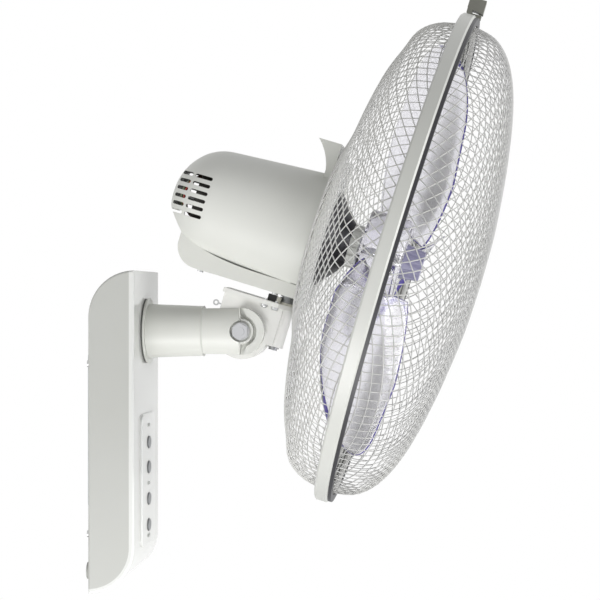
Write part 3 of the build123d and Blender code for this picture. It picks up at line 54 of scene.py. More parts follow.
def add_node(tree, kind, settings=(), **sockets):
    """Adds one node: settings are its properties, sockets its inputs, each a value or an output to link."""
    node = tree.nodes.new(kind)
    for key, value in dict(settings).items():
        setattr(node, key, value)
    for key, value in sockets.items():
        socket = node.inputs[int(key[1:]) if key[0] == "i" and key[1:].isdigit() else key.replace("_", " ")]
        if isinstance(value, bpy.types.NodeSocket):
            tree.links.new(value, socket)
        else:
            socket.default_value = value
    return node


def place_lamp(name, place, aim, size, power):
    """An area lamp at place that points at aim."""
    lamp = bpy.data.objects.new(name, bpy.data.lights.new(name, "AREA"))
    lamp.data.size = size
    lamp.data.energy = power
    lamp.location = place
    lamp.rotation_euler = (Vector(aim) - Vector(place)).to_track_quat("-Z", "Y").to_euler()
    bpy.context.collection.objects.link(lamp)


camera = bpy.data.objects.new("camera", bpy.data.cameras.new("camera"))
camera.data.lens = 100.5
camera.data.sensor_width = 36.0
camera.location = (-1.5, -0.341, 0.116)
VIEW_TURN = np.radians(5.93)
camera.rotation_euler = Vector((np.cos(VIEW_TURN), np.sin(VIEW_TURN), 0)).to_track_quat("-Z", "Y").to_euler()
bpy.context.collection.objects.link(camera)
bpy.context.scene.camera = camera
bpy.context.scene.view_settings.view_transform = "Standard"

MIDDLE = (0, -0.2, 0.1)
place_lamp("low lamp", (-0.8, -0.1, -0.95), MIDDLE, 1.0, 22)
place_lamp("front lamp", (-0.5, -2.4, 0.2), MIDDLE, 1.6, 44)
place_lamp("rear lamp", (-1.2, 1.5, 0.5), MIDDLE, 1.2, 8)

studio = bpy.data.worlds.new("studio")
bpy.context.scene.world = studio
studio.use_nodes = True
tree = studio.node_tree
tree.nodes.clear()
seen = add_node(tree, "ShaderNodeLightPath")
direct = add_node(tree, "ShaderNodeMath", {"operation": "MAXIMUM"}, i0=seen.outputs["Is Camera Ray"],
                  i1=seen.outputs["Is Transmission Ray"])
shown = add_node(tree, "ShaderNodeMath", {"operation": "MAXIMUM"}, i0=direct.outputs[0],
                 i1=seen.outputs["Is Glossy Ray"])
soft_light = add_node(tree, "ShaderNodeBackground", Color=(1, 1, 1, 1), Strength=0.42)
surround = add_node(tree, "ShaderNodeBackground", Color=(1, 1, 1, 1), Strength=1.0)
mixed = add_node(tree, "ShaderNodeMixShader", i0=shown.outputs[0], i1=soft_light.outputs[0],
                 i2=surround.outputs[0])
add_node(tree, "ShaderNodeOutputWorld", Surface=mixed.outputs[0])

FLOOR_R, FLOOR_Z, FLOOR_SIDES = 2.2, -1.0, 96
floor_turn = np.linspace(0, 2 * np.pi, FLOOR_SIDES, endpoint=False)
floor_mesh = bpy.data.meshes.new("studio_floor")
floor_mesh.from_pydata([(FLOOR_R * np.cos(t), FLOOR_R * np.sin(t), FLOOR_Z) for t in floor_turn], [],
                       [range(FLOOR_SIDES)])
floor = bpy.data.objects.new("studio_floor", floor_mesh)
bpy.context.collection.objects.link(floor)
floor_paper = bpy.data.materials.new("floor_paper")
floor_paper.use_nodes = True
paper = floor_paper.node_tree.nodes["Principled BSDF"]
paper.inputs["Base Color"].default_value = linear("#F4F4F3")
paper.inputs["Roughness"].default_value = 0.9
floor_mesh.materials.append(floor_paper)

# ---------------------------------------------------------------------------------------------
# Moulded plastics: ABS from a spark-eroded tool. The tool leaves a fine dull grain of about half a
# millimetre, and the colour drifts very slightly from one part of a moulding to another.
ABS_INDEX = 1.53


def shaded(colour, red, green, blue):
    """The linear colour of a hex value with its channels multiplied, each held at 1 or less."""
    return (*(min(c * share, 1) for c, share in zip(linear(colour), (red, green, blue))), 1)


def moulded_plastic(name, colour, roughness=0.42, grain=0.55, depth=0.12, drift=0.03):
    """Two noises in object space: one a hand's breadth wide shifts the colour by drift either way, one of
    grain millimetres lifts the surface and moves the gloss by 18 per cent either way."""
    material = bpy.data.materials.new(name)
    material.use_nodes = True
    tree = material.node_tree
    shader = tree.nodes["Principled BSDF"]
    place = add_node(tree, "ShaderNodeTexCoord").outputs["Object"]
    cloud = add_node(tree, "ShaderNodeTexNoise", Vector=place, Scale=9.0, Detail=3.0)
    tint = add_node(tree, "ShaderNodeMixRGB", Fac=cloud.outputs["Fac"],
                    Color1=shaded(colour, 1 - drift, 1 - drift, 1 - 2 * drift),
                    Color2=shaded(colour, 1 + drift, 1 + drift, 1 + drift))
    speck = add_node(tree, "ShaderNodeTexNoise", Vector=place, Scale=1000.0 / grain, Detail=2.0)
    gloss = add_node(tree, "ShaderNodeMapRange", Value=speck.outputs["Fac"], To_Min=roughness * 0.82,
                     To_Max=roughness * 1.18)
    relief = add_node(tree, "ShaderNodeBump", Strength=depth, Distance=0.0002, Height=speck.outputs["Fac"])
    tree.links.new(tint.outputs[0], shader.inputs["Base Color"])
    tree.links.new(gloss.outputs[0], shader.inputs["Roughness"])
    tree.links.new(relief.outputs[0], shader.inputs["Normal"])
    shader.inputs["IOR"].default_value = ABS_INDEX
    return material


def dress(material, *names):
    """Gives CAD nodes a finish."""
    for name in names:
        nodes[name].data.materials.clear()
        nodes[name].data.materials.append(material)


housing_abs = moulded_plastic("housing_abs", "#D2D3CF")
cover_abs = moulded_plastic("polished_cover_abs", "#D8D9D7", roughness=0.04, grain=0.7, depth=0.015,
                            drift=0.015)
dress(housing_abs, "motor_shell", "motor_skirt", "guard_dish")
# the rear housing's darker grey is painted shade for its side face, turned away from the lamps
dress(moulded_plastic("box_abs_painted_shade", "#B6B7B4", depth=0.1), "rear_housing")
dress(cover_abs, "front_cover")

# ---------------------------------------------------------------------------------------------
# Wire cages: two domes of soft steel wire woven as a square net, pressed over a former so that the
# squares shear into lozenges towards the rim, welded to a hoop and dip coated in pale grey.
TILT = np.radians(17.0)
AHEAD = np.array([0.0, -np.cos(TILT), -np.sin(TILT)])
ABOVE = np.array([0.0, -np.sin(TILT), np.cos(TILT)])
ACROSS = np.array([1.0, 0.0, 0.0])
RING_CENTRE = np.array([0.0, -0.134, 0.088]) + 0.115 * AHEAD + 0.102 * ABOVE
WIRE_STEP, WIRE_HALF = 0.0085, 0.00048
NET_BIAS = np.radians(170.0)


def on_head(x, p, a):
    """Point of the tilted head from x across, p up its face and a along the fan's axis, all in metres."""
    x, p, a = np.broadcast_arrays(x, p, a)
    return RING_CENTRE + x[..., None] * ACROSS + p[..., None] * ABOVE + a[..., None] * AHEAD


def smooth_profile(points, count):
    """A Catmull-Rom curve through the points: each span is the cubic whose slope at an end is half the chord
    from the point before that end to the point after it."""
    knots = np.array(points, float)
    padded = np.vstack([2 * knots[0] - knots[1], knots, 2 * knots[-1] - knots[-2]])
    t = np.linspace(0, len(knots) - 1 - 1e-9, count)
    i = t.astype(int)
    f = (t - i)[:, None]
    p0, p1, p2, p3 = padded[i], padded[i + 1], padded[i + 2], padded[i + 3]
    return 0.5 * (2 * p1 + (p2 - p0) * f + (2 * p0 - 5 * p1 + 4 * p2 - p3) * f**2
                  + (3 * p1 - p0 - 3 * p2 + p3) * f**3)


def mesh_piece(name, points, faces, material, body, stands_for=()):
    """Makes a mesh object from a point array and a face array, gives it its finish and its body."""
    mesh = bpy.data.meshes.new(name)
    mesh.from_pydata(np.reshape(points, (-1, 3)).tolist(), [], [list(face) for face in faces])
    mesh.polygons.foreach_set("use_smooth", [True] * len(mesh.polygons))
    mesh.materials.append(material)
    piece = bpy.data.objects.new(name, mesh)
    bpy.context.collection.objects.link(piece)
    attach(piece, body)
    if stands_for:
        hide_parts(*stands_for)
    return piece


def grid_faces(rows, columns, wrap_rows=False, wrap_columns=True, start=0):
    """Quads of a grid of points in row order, joined round where it wraps."""
    r = np.arange(rows if wrap_rows else rows - 1)[:, None]
    c = np.arange(columns if wrap_columns else columns - 1)[None, :]
    r2, c2 = (r + 1) % rows, (c + 1) % columns
    quads = [r * columns + c, r * columns + c2, r2 * columns + c2, r2 * columns + c]
    return start + np.stack([np.broadcast_to(q, (r.size, c.size)) for q in quads], -1).reshape(-1, 4)


def lay_net(dome, step, reach):
    """Lays a net of inextensible wires on a dome of revolution, one quarter of it, and mirrors that.

    Two wires run out from the middle along meridians at right angles. Every other knot lies one step from
    its two neighbours nearer the middle, and on the dome: each round of corrections moves it to the mean of
    the two points at that distance, then along its own ray to the dome's radius at its latitude."""
    profile = smooth_profile(dome, 600)
    latitude = np.arctan2(profile[:, 0], profile[:, 1])
    radius = np.hypot(profile[:, 0], profile[:, 1])
    order = np.argsort(latitude)
    latitude, radius = latitude[order], radius[order]

    def settle(knots):
        here = np.arctan2(knots[..., 2], np.hypot(knots[..., 0], knots[..., 1]))
        return knots * (np.interp(here, latitude, radius) / np.linalg.norm(knots, axis=-1))[..., None]

    run = np.concatenate([[0], np.cumsum(np.linalg.norm(np.diff(profile, axis=0), axis=1))])
    out = np.arange(reach) * step
    net = np.zeros((reach, reach, 3))
    net[:, 0, 0] = net[0, :, 1] = np.interp(out, run, profile[:, 1])
    net[:, 0, 2] = net[0, :, 2] = np.interp(out, run, profile[:, 0])
    for diagonal in range(2, 2 * reach - 1):
        i = np.arange(max(1, diagonal - reach + 1), min(diagonal, reach))
        j = diagonal - i
        one, other = net[i - 1, j], net[i, j - 1]
        knot = one + other - net[i - 1, j - 1]
        for _ in range(12):
            from_one, from_other = knot - one, knot - other
            knot = 0.5 * (one + step * from_one / np.linalg.norm(from_one, axis=-1, keepdims=True)
                          + other + step * from_other / np.linalg.norm(from_other, axis=-1, keepdims=True))
            knot = settle(knot)
        net[i, j] = knot
    half = np.concatenate([net[:0:-1] * (-1, 1, 1), net], 0)
    return np.concatenate([half[:, :0:-1] * (1, -1, 1), half], 1)


def trim_wires(wires, keep):
    """Pulls the point just past each cut back to the line where keep falls through zero; drops the rest."""
    inside = keep > 0
    for shift in (1, -1):
        near, near_keep = np.roll(wires, shift, 1), np.roll(keep, shift, 1)
        edge = ~inside & (near_keep > 0)
        share = np.where(edge, near_keep / np.where(edge, near_keep - keep, 1), 0)[..., None]
        wires = np.where(edge[..., None], near + (wires - near) * share, wires)
        inside = inside | edge
    started = keep > 0
    joined = (started[:, :-1] | started[:, 1:]) & inside[:, :-1] & inside[:, 1:]
    return wires, joined


def wire_tubes(wires, joined, thick, lift, centre_pull):
    """Square tubes round the wires: corners along the dome's normal and across the wire, on a core lifted off
    the middle surface by lift."""
    along = np.gradient(wires, axis=1)
    along /= np.linalg.norm(along, axis=-1, keepdims=True) + 1e-12
    normal = wires - centre_pull
    normal -= (normal * along).sum(-1, keepdims=True) * along
    normal /= np.linalg.norm(normal, axis=-1, keepdims=True) + 1e-12
    side = np.cross(along, normal)
    core = wires + lift * normal
    corners = np.stack([core + thick * normal, core + thick * side, core - thick * normal,
                        core - thick * side], 2)
    count, length = wires.shape[:2]
    rings = np.arange(count)[:, None] * length + np.arange(length)[None, :]
    padded = np.pad(joined, ((0, 0), (1, 1)))
    first, last = rings[padded[:, 1:] & ~padded[:, :-1]], rings[padded[:, :-1] & ~padded[:, 1:]]
    start = rings[:, :-1][joined]
    k = np.arange(4)
    a = start[:, None] * 4 + k
    b = start[:, None] * 4 + (k + 1) % 4
    walls = np.stack([a, b, b + 4, a + 4], -1).reshape(-1, 4)
    ends = [first[:, None] * 4 + k[::-1], last[:, None] * 4 + k]
    return corners.reshape(-1, 3), np.concatenate([walls, *ends])


def drop_loose(points, faces):
    """Keeps only the points that faces use."""
    used, faces = np.unique(faces, return_inverse=True)
    return points[used], faces.reshape(-1, 4)


def coated_wire(name, colour):
    """Dip-coated steel wire: a satin plastic skin, slightly darker where it thins."""
    return moulded_plastic(name, colour, roughness=0.4, grain=1.2, depth=0.2, drift=0.05)


# each dome's outline in millimetres, as (distance from the ring's plane, radius); it runs on past the
# hoop as a straight wall, and the wires are cut a little short of the ring's plane
FRONT_DOME = np.array([(76, 0), (74.8, 45), (70.3, 90), (66.7, 115), (62.1, 140), (55.7, 165), (47.7, 185),
                       (38, 200), (26, 210), (13, 213.8), (3, 214.8), (-20, 214.8), (-60, 214.8)]) / 1000
REAR_DOME = np.array([(76, 0), (75.6, 45), (74.5, 75), (67.5, 100), (63.3, 120), (59.6, 140), (53.3, 165),
                      (44.9, 185), (38.5, 200), (24.7, 210), (8, 214), (3, 214.8), (-20, 214.8),
                      (-60, 214.8)]) / 1000
WIRES_EACH_SIDE, CUT_LINE, PLATE_R = 34, 0.002, 0.0725
# all four greys are one pale grey coating: the warp painted darker than the weft, and the front cage darker
# than the rear, as painted shade for how light falls on the two wire directions and the two cages
cages = (("front_guard", FRONT_DOME, 1, 0.0, "#B2B2B3", "#C4C4C4"),
         ("rear_guard", REAR_DOME, -1, PLATE_R, "#C2C2C2", "#D0D0CF"))
turn = NET_BIAS + np.pi / 4
for cage, dome, side, inner, dark, light in cages:
    net = lay_net(dome, WIRE_STEP, WIRES_EACH_SIDE)
    x = net[..., 0] * np.cos(turn) - net[..., 1] * np.sin(turn)
    p = net[..., 0] * np.sin(turn) + net[..., 1] * np.cos(turn)
    knots = on_head(x, p, side * net[..., 2])
    margin = np.minimum(net[..., 2] - CUT_LINE, np.hypot(net[..., 0], net[..., 1]) - inner)
    # warp takes the painted darker grey and weft the painted lighter grey of the same coating
    for way, colour, lift in (("warp", dark, WIRE_HALF / 2), ("weft", light, -WIRE_HALF / 2)):
        wires, keep = (knots, margin) if way == "warp" else (knots.swapaxes(0, 1), margin.T)
        wires, joined = trim_wires(wires, keep)
        points, faces = wire_tubes(wires, joined, WIRE_HALF, lift, RING_CENTRE)
        points, faces = drop_loose(points, faces)
        wire = coated_wire(f"{cage}_{way}", colour)
        mesh_piece(f"{cage}_{way}_wires", points, faces, wire, "head", (cage,))


def turned(name, profile, material, body, stands_for=(), count=160):
    """A solid of revolution about the fan's axis: a closed outline of (along, radius) in millimetres, carried
    round in count equal steps."""
    outline = np.array(profile, float) / 1000
    if (outline[:, 0] * np.roll(outline[:, 1], -1) - np.roll(outline[:, 0], -1) * outline[:, 1]).sum() > 0:
        outline = outline[::-1]
    t = np.linspace(0, 2 * np.pi, count, endpoint=False)
    r = outline[:, 1][:, None]
    points = on_head(r * np.cos(t), r * np.sin(t), outline[:, 0][:, None])
    mesh_piece(name, points, grid_faces(len(outline), count, wrap_rows=True), material, body, stands_for)


def round_bar(a, r, radius, sides=12):
    """Outline of a round rod seen end on: a circle about (a, r)."""
    t = np.linspace(0, 2 * np.pi, sides, endpoint=False)
    return np.stack([a + radius * np.cos(t), r + radius * np.sin(t)], -1)


HOOP_AHEAD, HOOP_R, HOOP_WIRE_R = 4.2, 214.4, 2.6
hoop_wire = coated_wire("hoop_wire", "#BDBDBC")
turned("front_hoop", round_bar(HOOP_AHEAD, HOOP_R, HOOP_WIRE_R), hoop_wire, "head", ("front_guard",))
turned("rear_hoop", round_bar(-HOOP_AHEAD, HOOP_R, HOOP_WIRE_R), hoop_wire, "head", ("rear_guard",))
turned("rear_guard_plate", [(-76, 12.4), (-76, 72), (-75.4, 75), (-74.2, 75), (-74, 73), (-74, 12.4)],
       coated_wire("guard_plate_coating", "#C6C6C5"), "head", ("rear_guard",))

# ---------------------------------------------------------------------------------------------
# Fan blades: one moulding of clear acrylonitrile styrene tinted violet, three broad blades on a
# hub. Light runs inside the plastic and leaves at the edges, so the edges look dark and strong: the
# edge and tip faces get a darker, denser violet, painted shade for that look.
BLADE_STATIONS, BLADE_HALF_LOOP = 44, 28
BLADE_ROOT, BLADE_TIP, CORNER_START = 0.0365, 0.195, 0.150


def tinted_clear(name, colour, density, roughness=0.08):
    """Clear styrene plastic: most light passes and takes the tint, a smooth moulded face keeps the gloss."""
    material = bpy.data.materials.new(name)
    material.use_nodes = True
    tree = material.node_tree
    shader = tree.nodes["Principled BSDF"]
    place = add_node(tree, "ShaderNodeTexCoord").outputs["Object"]
    flow = add_node(tree, "ShaderNodeTexNoise", Vector=place, Scale=22.0, Detail=2.0)
    tint = add_node(tree, "ShaderNodeMixRGB", Fac=flow.outputs["Fac"],
                    Color1=shaded(colour, 0.97, 0.97, 0.98), Color2=shaded(colour, 1.05, 1.05, 1.03))
    tree.links.new(tint.outputs[0], shader.inputs["Base Color"])
    shader.inputs["Roughness"].default_value = roughness
    shader.inputs["IOR"].default_value = 1.57
    shader.inputs["Transmission Weight"].default_value = density
    return material


def blade_skin(angle):
    """One blade: at each radius a cambered section, set at the blade's pitch and wrapped round the axis. With
    u = 0 at 30 mm and 1 at 200 mm, the chord widens from 60 to 152 mm, the pitch falls from 45 to 22 degrees,
    and past CORNER_START the half width shrinks as a superellipse, which rounds the tip's corners."""
    sunk_root = BLADE_ROOT - 0.003
    s = 0.5 - 0.5 * np.cos(np.linspace(0.25, np.pi, BLADE_STATIONS))
    r = sunk_root + (BLADE_TIP - sunk_root) * (s - s[0]) / (1 - s[0])
    u = (r * 1000 - 30) / 170
    chord = (60 + 70 * np.clip(u / 0.47, 0, 1) ** 0.8 + 22 * np.clip((u - 0.47) / 0.53, 0, 1)) / 1000
    pitch = np.radians(45 - 31 * u + 8 * u**2)
    camber = (4 + 9 * np.sqrt(np.clip(u, 0, 1)) - 3.5 * u) / 1000
    round_off = (1 - np.clip((r - CORNER_START) / (BLADE_TIP - CORNER_START), 0, 1) ** 3.2) ** (1 / 2.6)
    half = chord / 2 * np.maximum(round_off, 0.02)
    thick = 0.0024 - 0.0009 * u
    v = -np.cos(np.linspace(0, np.pi, BLADE_HALF_LOOP + 1))
    edge = np.sqrt(np.clip(1 - v**6, 0, 1))
    loop_v = np.concatenate([v, v[-2:0:-1]])
    loop_side = np.concatenate([edge, -edge[-2:0:-1]]) * 0.5
    y = camber[:, None] * (1 - loop_v**2) * round_off[:, None] + thick[:, None] * (0.5 + loop_side)
    run = loop_v * half[:, None]
    x = run * np.cos(pitch)[:, None] - y * np.sin(pitch)[:, None]
    a = -0.003 - run * np.sin(pitch)[:, None] - y * np.cos(pitch)[:, None]
    turn = angle - x / r[:, None]
    return on_head(-r[:, None] * np.sin(turn), r[:, None] * np.cos(turn), a)


blade_clear = tinted_clear("tinted_blade_styrene", "#F6F5FC", 0.97)
# painted shade: a darker, denser violet for the edge and tip faces of the same clear moulding
painted_edge_shade = tinted_clear("blade_edge_painted_shade", "#54499A", 0.25, roughness=0.2)
FIRST_BLADE = 20.0
loop = 2 * BLADE_HALF_LOOP
skin_faces = grid_faces(BLADE_STATIONS, loop)[:, ::-1].tolist()
cap_faces = [range(loop), range(BLADE_STATIONS * loop - 1, (BLADE_STATIONS - 1) * loop - 1, -1)]
column = np.tile(np.arange(loop), BLADE_STATIONS - 1)
on_edge = (column < 2) | (column >= loop - 2) | (abs(column - BLADE_HALF_LOOP + 0.5) < 2)
at_tip = np.repeat(np.arange(BLADE_STATIONS - 1), loop) >= BLADE_STATIONS - 5
for number in range(3):
    skin = blade_skin(np.radians(FIRST_BLADE + 120 * number))
    blade = mesh_piece(f"fan_blade_{number + 1}", skin, skin_faces + cap_faces, blade_clear, "rotor",
                       ("fan_blade",))
    blade.data.materials.append(painted_edge_shade)
    blade.data.polygons.foreach_set("material_index", [*(on_edge | at_tip).astype(int), 1, 1])
    for cap in blade.data.polygons[-2:]:
        cap.use_smooth = False
turned("fan_hub", [(-34, 9.2), (-31, 9.2), (-31, 34.4), (-34, 34.6), (-34, 37), (0.5, 37), (2.6, 36),
                   (4.2, 34.2), (5, 31.5), (5, 4.05), (-34, 4.05)], blade_clear, "rotor", ("fan_blade",),
       count=96)

# ---------------------------------------------------------------------------------------------
# Metal parts: pressed and plated steel, ground shafts, die castings and copper wire. Rolling and
# grinding leave fine straight lines along the piece, and plating pools into faint clouds.


def worked_metal(name, colour, roughness, line_mm, along=(1, 1, 1), wear=0.06):
    """A metal with lines: noise line_mm apart, stretched along the work direction, drives gloss and bump, and
    clouds 17 mm wide shift the colour by wear either way."""
    material = bpy.data.materials.new(name)
    material.use_nodes = True
    tree = material.node_tree
    shader = tree.nodes["Principled BSDF"]
    place = add_node(tree, "ShaderNodeTexCoord").outputs["Object"]
    stretched = add_node(tree, "ShaderNodeMapping", Vector=place, Scale=along).outputs[0]
    lines = add_node(tree, "ShaderNodeTexNoise", Vector=stretched, Scale=1000.0 / line_mm, Detail=3.0)
    cloud = add_node(tree, "ShaderNodeTexNoise", Vector=place, Scale=60.0, Detail=4.0)
    tint = add_node(tree, "ShaderNodeMixRGB", Fac=cloud.outputs["Fac"],
                    Color1=shaded(colour, 1 - wear, 1 - wear, 1 - wear),
                    Color2=shaded(colour, 1 + wear, 1 + wear, 1 + wear))
    gloss = add_node(tree, "ShaderNodeMapRange", Value=lines.outputs["Fac"], To_Min=roughness - 0.06,
                     To_Max=roughness + 0.08)
    relief = add_node(tree, "ShaderNodeBump", Strength=0.15, Distance=0.0001, Height=lines.outputs["Fac"])
    tree.links.new(tint.outputs[0], shader.inputs["Base Color"])
    tree.links.new(gloss.outputs[0], shader.inputs["Roughness"])
    tree.links.new(relief.outputs[0], shader.inputs["Normal"])
    shader.inputs["Metallic"].default_value = 1.0
    return material


dress(worked_metal("galvanised_sheet", "#B4B8BA", 0.42, 0.6, (1, 1, 6)), "wall_plate", "arm_bracket",
      "swing_motor", "swing_link")
dress(worked_metal("zinc_plate", "#BFC0C0", 0.3, 0.3, (4, 1, 1)), "housing_screws", "bracket_screws",
      "arm_screws", "neck_screws", "skirt_screws", "pivot_washers", "link_pin", "cable_loop")
nickel_chrome = worked_metal("nickel_chrome", "#C9CACC", 0.12, 0.3, (4, 1, 1))
dress(nickel_chrome, "pivot_bolt")
dress(worked_metal("ground_steel", "#A6A7A8", 0.22, 0.15, (6, 1, 1)), "motor_shaft", "drive_pin",
      "motor_bearings", "swivel_spindle", "spindle_ring")
dress(worked_metal("die_cast_alloy", "#9C9E9F", 0.5, 0.8), "front_bell", "rear_bell", "swivel_yoke")
dress(worked_metal("silicon_steel_laminations", "#6F7173", 0.5, 0.5, (0.15, 1, 0.3)), "motor_stator",
      "rotor_core")
dress(worked_metal("enamelled_copper", "#A5603A", 0.32, 0.45, (1, 0.2, 1)), "motor_windings")

# ---------------------------------------------------------------------------------------------
# Back of the motor, seen through the louvres: a dark moulded cap insulates the rear bell, and three
# PVC-covered leads loop from the windings over the cap and back in to the swing motor. The cap's
# near-black also serves as painted shade for the inside of the shell behind the louvres.
nylon_cap_with_painted_shade = moulded_plastic("nylon_cap_with_painted_shade", "#34322E", roughness=0.45, grain=0.5, depth=0.2)
turned("motor_cap", [(-186.6, 6), (-186.6, 37), (-185.8, 39.2), (-184, 39.8), (-169, 39.8), (-169, 38.2),
                     (-185.2, 38.2), (-185.2, 6)], nylon_cap_with_painted_shade, "head", count=96)


def carried_round(path, radius, sides=10):
    """A round tube: a circle carried along the path, square to its direction. One axis of the circle stays
    in the plane that lies closest to the whole path. Each end is a fan of triangles about its middle."""
    along = np.gradient(path, axis=0)
    along /= np.linalg.norm(along, axis=1, keepdims=True)
    flat = np.linalg.svd(path - path.mean(0))[2][2]
    out = np.cross(along, flat)
    out /= np.linalg.norm(out, axis=1, keepdims=True)
    rise = np.cross(along, out)
    t = np.linspace(0, 2 * np.pi, sides, endpoint=False)[:, None]
    rings = path[:, None] + radius * (np.cos(t) * out[:, None] + np.sin(t) * rise[:, None])
    ends = np.concatenate([path[:1], path[-1:]])
    count = len(path) * sides
    k = np.arange(sides)
    after = (k + 1) % sides
    far = count - sides
    fans = np.concatenate([np.stack([np.full(sides, count), after, k], -1),
                           np.stack([np.full(sides, count + 1), far + k, far + after], -1)])
    points = np.concatenate([rings.reshape(-1, 3), ends])
    return points, [*grid_faces(len(path), sides).tolist(), *fans.tolist()]


# stations of the brown lead in millimetres: across, up the head's face, along the fan's axis; each of the
# others runs inside it by its share and bows off the cap by its lift
LEAD_R, LEAD_POINTS = 0.0011, 60
LEAD_ROUTE = np.array([(-18, 21, -186), (-28, 19, -190), (-34, 12, -192.5), (-35, 1, -193.5),
                       (-33.5, -9, -192), (-26, -15, -189), (-18, -17, -186)])
leads = (("#6B3A22", 1.0, 0.0), ("#B23A2E", 0.93, -3.2), ("#7E8B6A", 0.86, -6.2))
for number, (colour, share, lift) in enumerate(leads):
    route = smooth_profile(LEAD_ROUTE * (share, share, 1), LEAD_POINTS)
    route[:, 2] += lift * np.sin(np.linspace(0, np.pi, LEAD_POINTS))
    path = on_head(*(route / 1000).T)
    lead_pvc = moulded_plastic(f"lead_pvc_{number + 1}", colour, roughness=0.35, grain=0.6, depth=0.05)
    mesh_piece(f"motor_lead_{number + 1}", *carried_round(path, LEAD_R), lead_pvc, "head")

# ---------------------------------------------------------------------------------------------
# Neck and small pieces: the neck bracket is a painted casting. A grey foam gasket closes the arm's
# root, and nylon and rubber pieces take wear and keep the box off the wall.
neck_paint = moulded_plastic("neck_paint", "#DCDCD9", roughness=0.38, grain=1.1, depth=0.18, drift=0.02)
soft_black = moulded_plastic("black_rubber", "#1C1C1D", roughness=0.6, grain=0.4, depth=0.2)
black_abs = moulded_plastic("black_abs", "#17171A", roughness=0.4)
natural_nylon = moulded_plastic("natural_nylon", "#E9E7DE", roughness=0.35, grain=0.4, depth=0.05)
dress(neck_paint, "neck_bracket")
dress(soft_black, "cord_grommet")
dress(moulded_plastic("gasket_foam", "#5A5B58", roughness=0.7, grain=0.5, depth=0.3), "arm_gasket")
dress(moulded_plastic("grey_rubber", "#A5A6A3", roughness=0.55, grain=0.4, depth=0.2), "wall_bumpers")
dress(black_abs, "stop_lug", "tact_switches", "run_capacitor")
dress(natural_nylon, "nylon_post", "swivel_bush", "terminal_block", "crank_disc")

# ---------------------------------------------------------------------------------------------
# Arm: one near-white moulding, a hollow cone with a flange inside the box. Its forked end stops flat,
# and two round ears carry the tilt bolt. A groove runs behind each ear and round its washer's boss.
# Millimetres in this section: depth is from the wall, and a HALF is a distance from the middle plane.
ARM_HEIGHT, TILT_DEPTH, ARM_SIDES = 88.0, 134.0, 128
FORK_START, FORK_HALF, CLEAR_OF_ARM = 98.0, 12.7, 40.0
EAR_R, EAR_HALF, SEAT_R, SEAT_HALF = 21.0, 20.0, 9.5, 18.0
GROOVE_START, GROOVE_W, GROOVE_IN, GROOVE_OUT, GROOVE_HALF = 133.0, 2.8, 11.4, 14.2, 15.0
BOLT_HOLE_R, NUT_HOLE_R, NUT_FLATS, NUT_T, NUT_HALF = 4.04, 3.98, 13.0, 6.5, 19.6


def rough_solid(points, faces):
    """A closed solid from points (x, depth, height above the arm's axis), facing outwards, as an object."""
    x, depth, height = np.reshape(points, (-1, 3)).T
    corners = np.stack([x, -depth, height + ARM_HEIGHT], -1) / 1000
    mesh = bpy.data.meshes.new("arm_stock")
    mesh.from_pydata(corners.tolist(), [], [list(face) for face in faces])
    stock = bpy.data.objects.new("arm_stock", mesh)
    bpy.context.collection.objects.link(stock)
    sheet = bmesh.new()
    sheet.from_mesh(mesh)
    bmesh.ops.recalc_face_normals(sheet, faces=sheet.faces)
    sheet.to_mesh(mesh)
    sheet.free()
    return stock


def cross_prism(outline, x0, x1):
    """A prism across the arm: a closed (depth, height) outline carried from x0 to x1."""
    outline = np.array(outline, float)
    count = len(outline)
    points = [np.column_stack([np.full(count, x), outline]) for x in (x0, x1)]
    ends = [range(count), range(2 * count - 1, count - 1, -1)]
    return rough_solid(points, [*grid_faces(2, count).tolist(), *ends])


def circle_at(depth, radius, count=96, turn=0.0):
    """Points of a circle or regular polygon about the arm's axis at a depth, in the arm's side plane."""
    t = turn + np.linspace(0, 2 * np.pi, count, endpoint=False)
    return np.stack([depth + radius * np.cos(t), radius * np.sin(t)], -1)


def combine(name, base, steps, material, body, stands_for):
    """Joins the base with each solid in turn or cuts it, keeps the mesh and clears the stock away. Edges that
    turn by more than 32 degrees stay sharp."""
    for operation, tool in steps:
        change = base.modifiers.new(operation, "BOOLEAN")
        change.operation, change.solver, change.object = operation, "EXACT", tool
    graph = bpy.context.evaluated_depsgraph_get()
    mesh = bpy.data.meshes.new_from_object(base.evaluated_get(graph))
    for stock in (base, *[tool for _, tool in steps]):
        bpy.data.objects.remove(stock)
    mesh.name = name
    mesh.materials.clear()
    mesh.materials.append(material)
    mesh.polygons.foreach_set("use_smooth", [True] * len(mesh.polygons))
    mesh.set_sharp_from_angle(angle=np.radians(32))
    piece = bpy.data.objects.new(name, mesh)
    bpy.context.collection.objects.link(piece)
    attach(piece, body)
    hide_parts(*stands_for)


def half_round(radius, count):
    """Points of the front half of a circle about the tilt axis, from top to bottom."""
    t = np.linspace(0, np.pi, count)
    return np.stack([TILT_DEPTH + radius * np.sin(t), radius * np.cos(t)], -1)


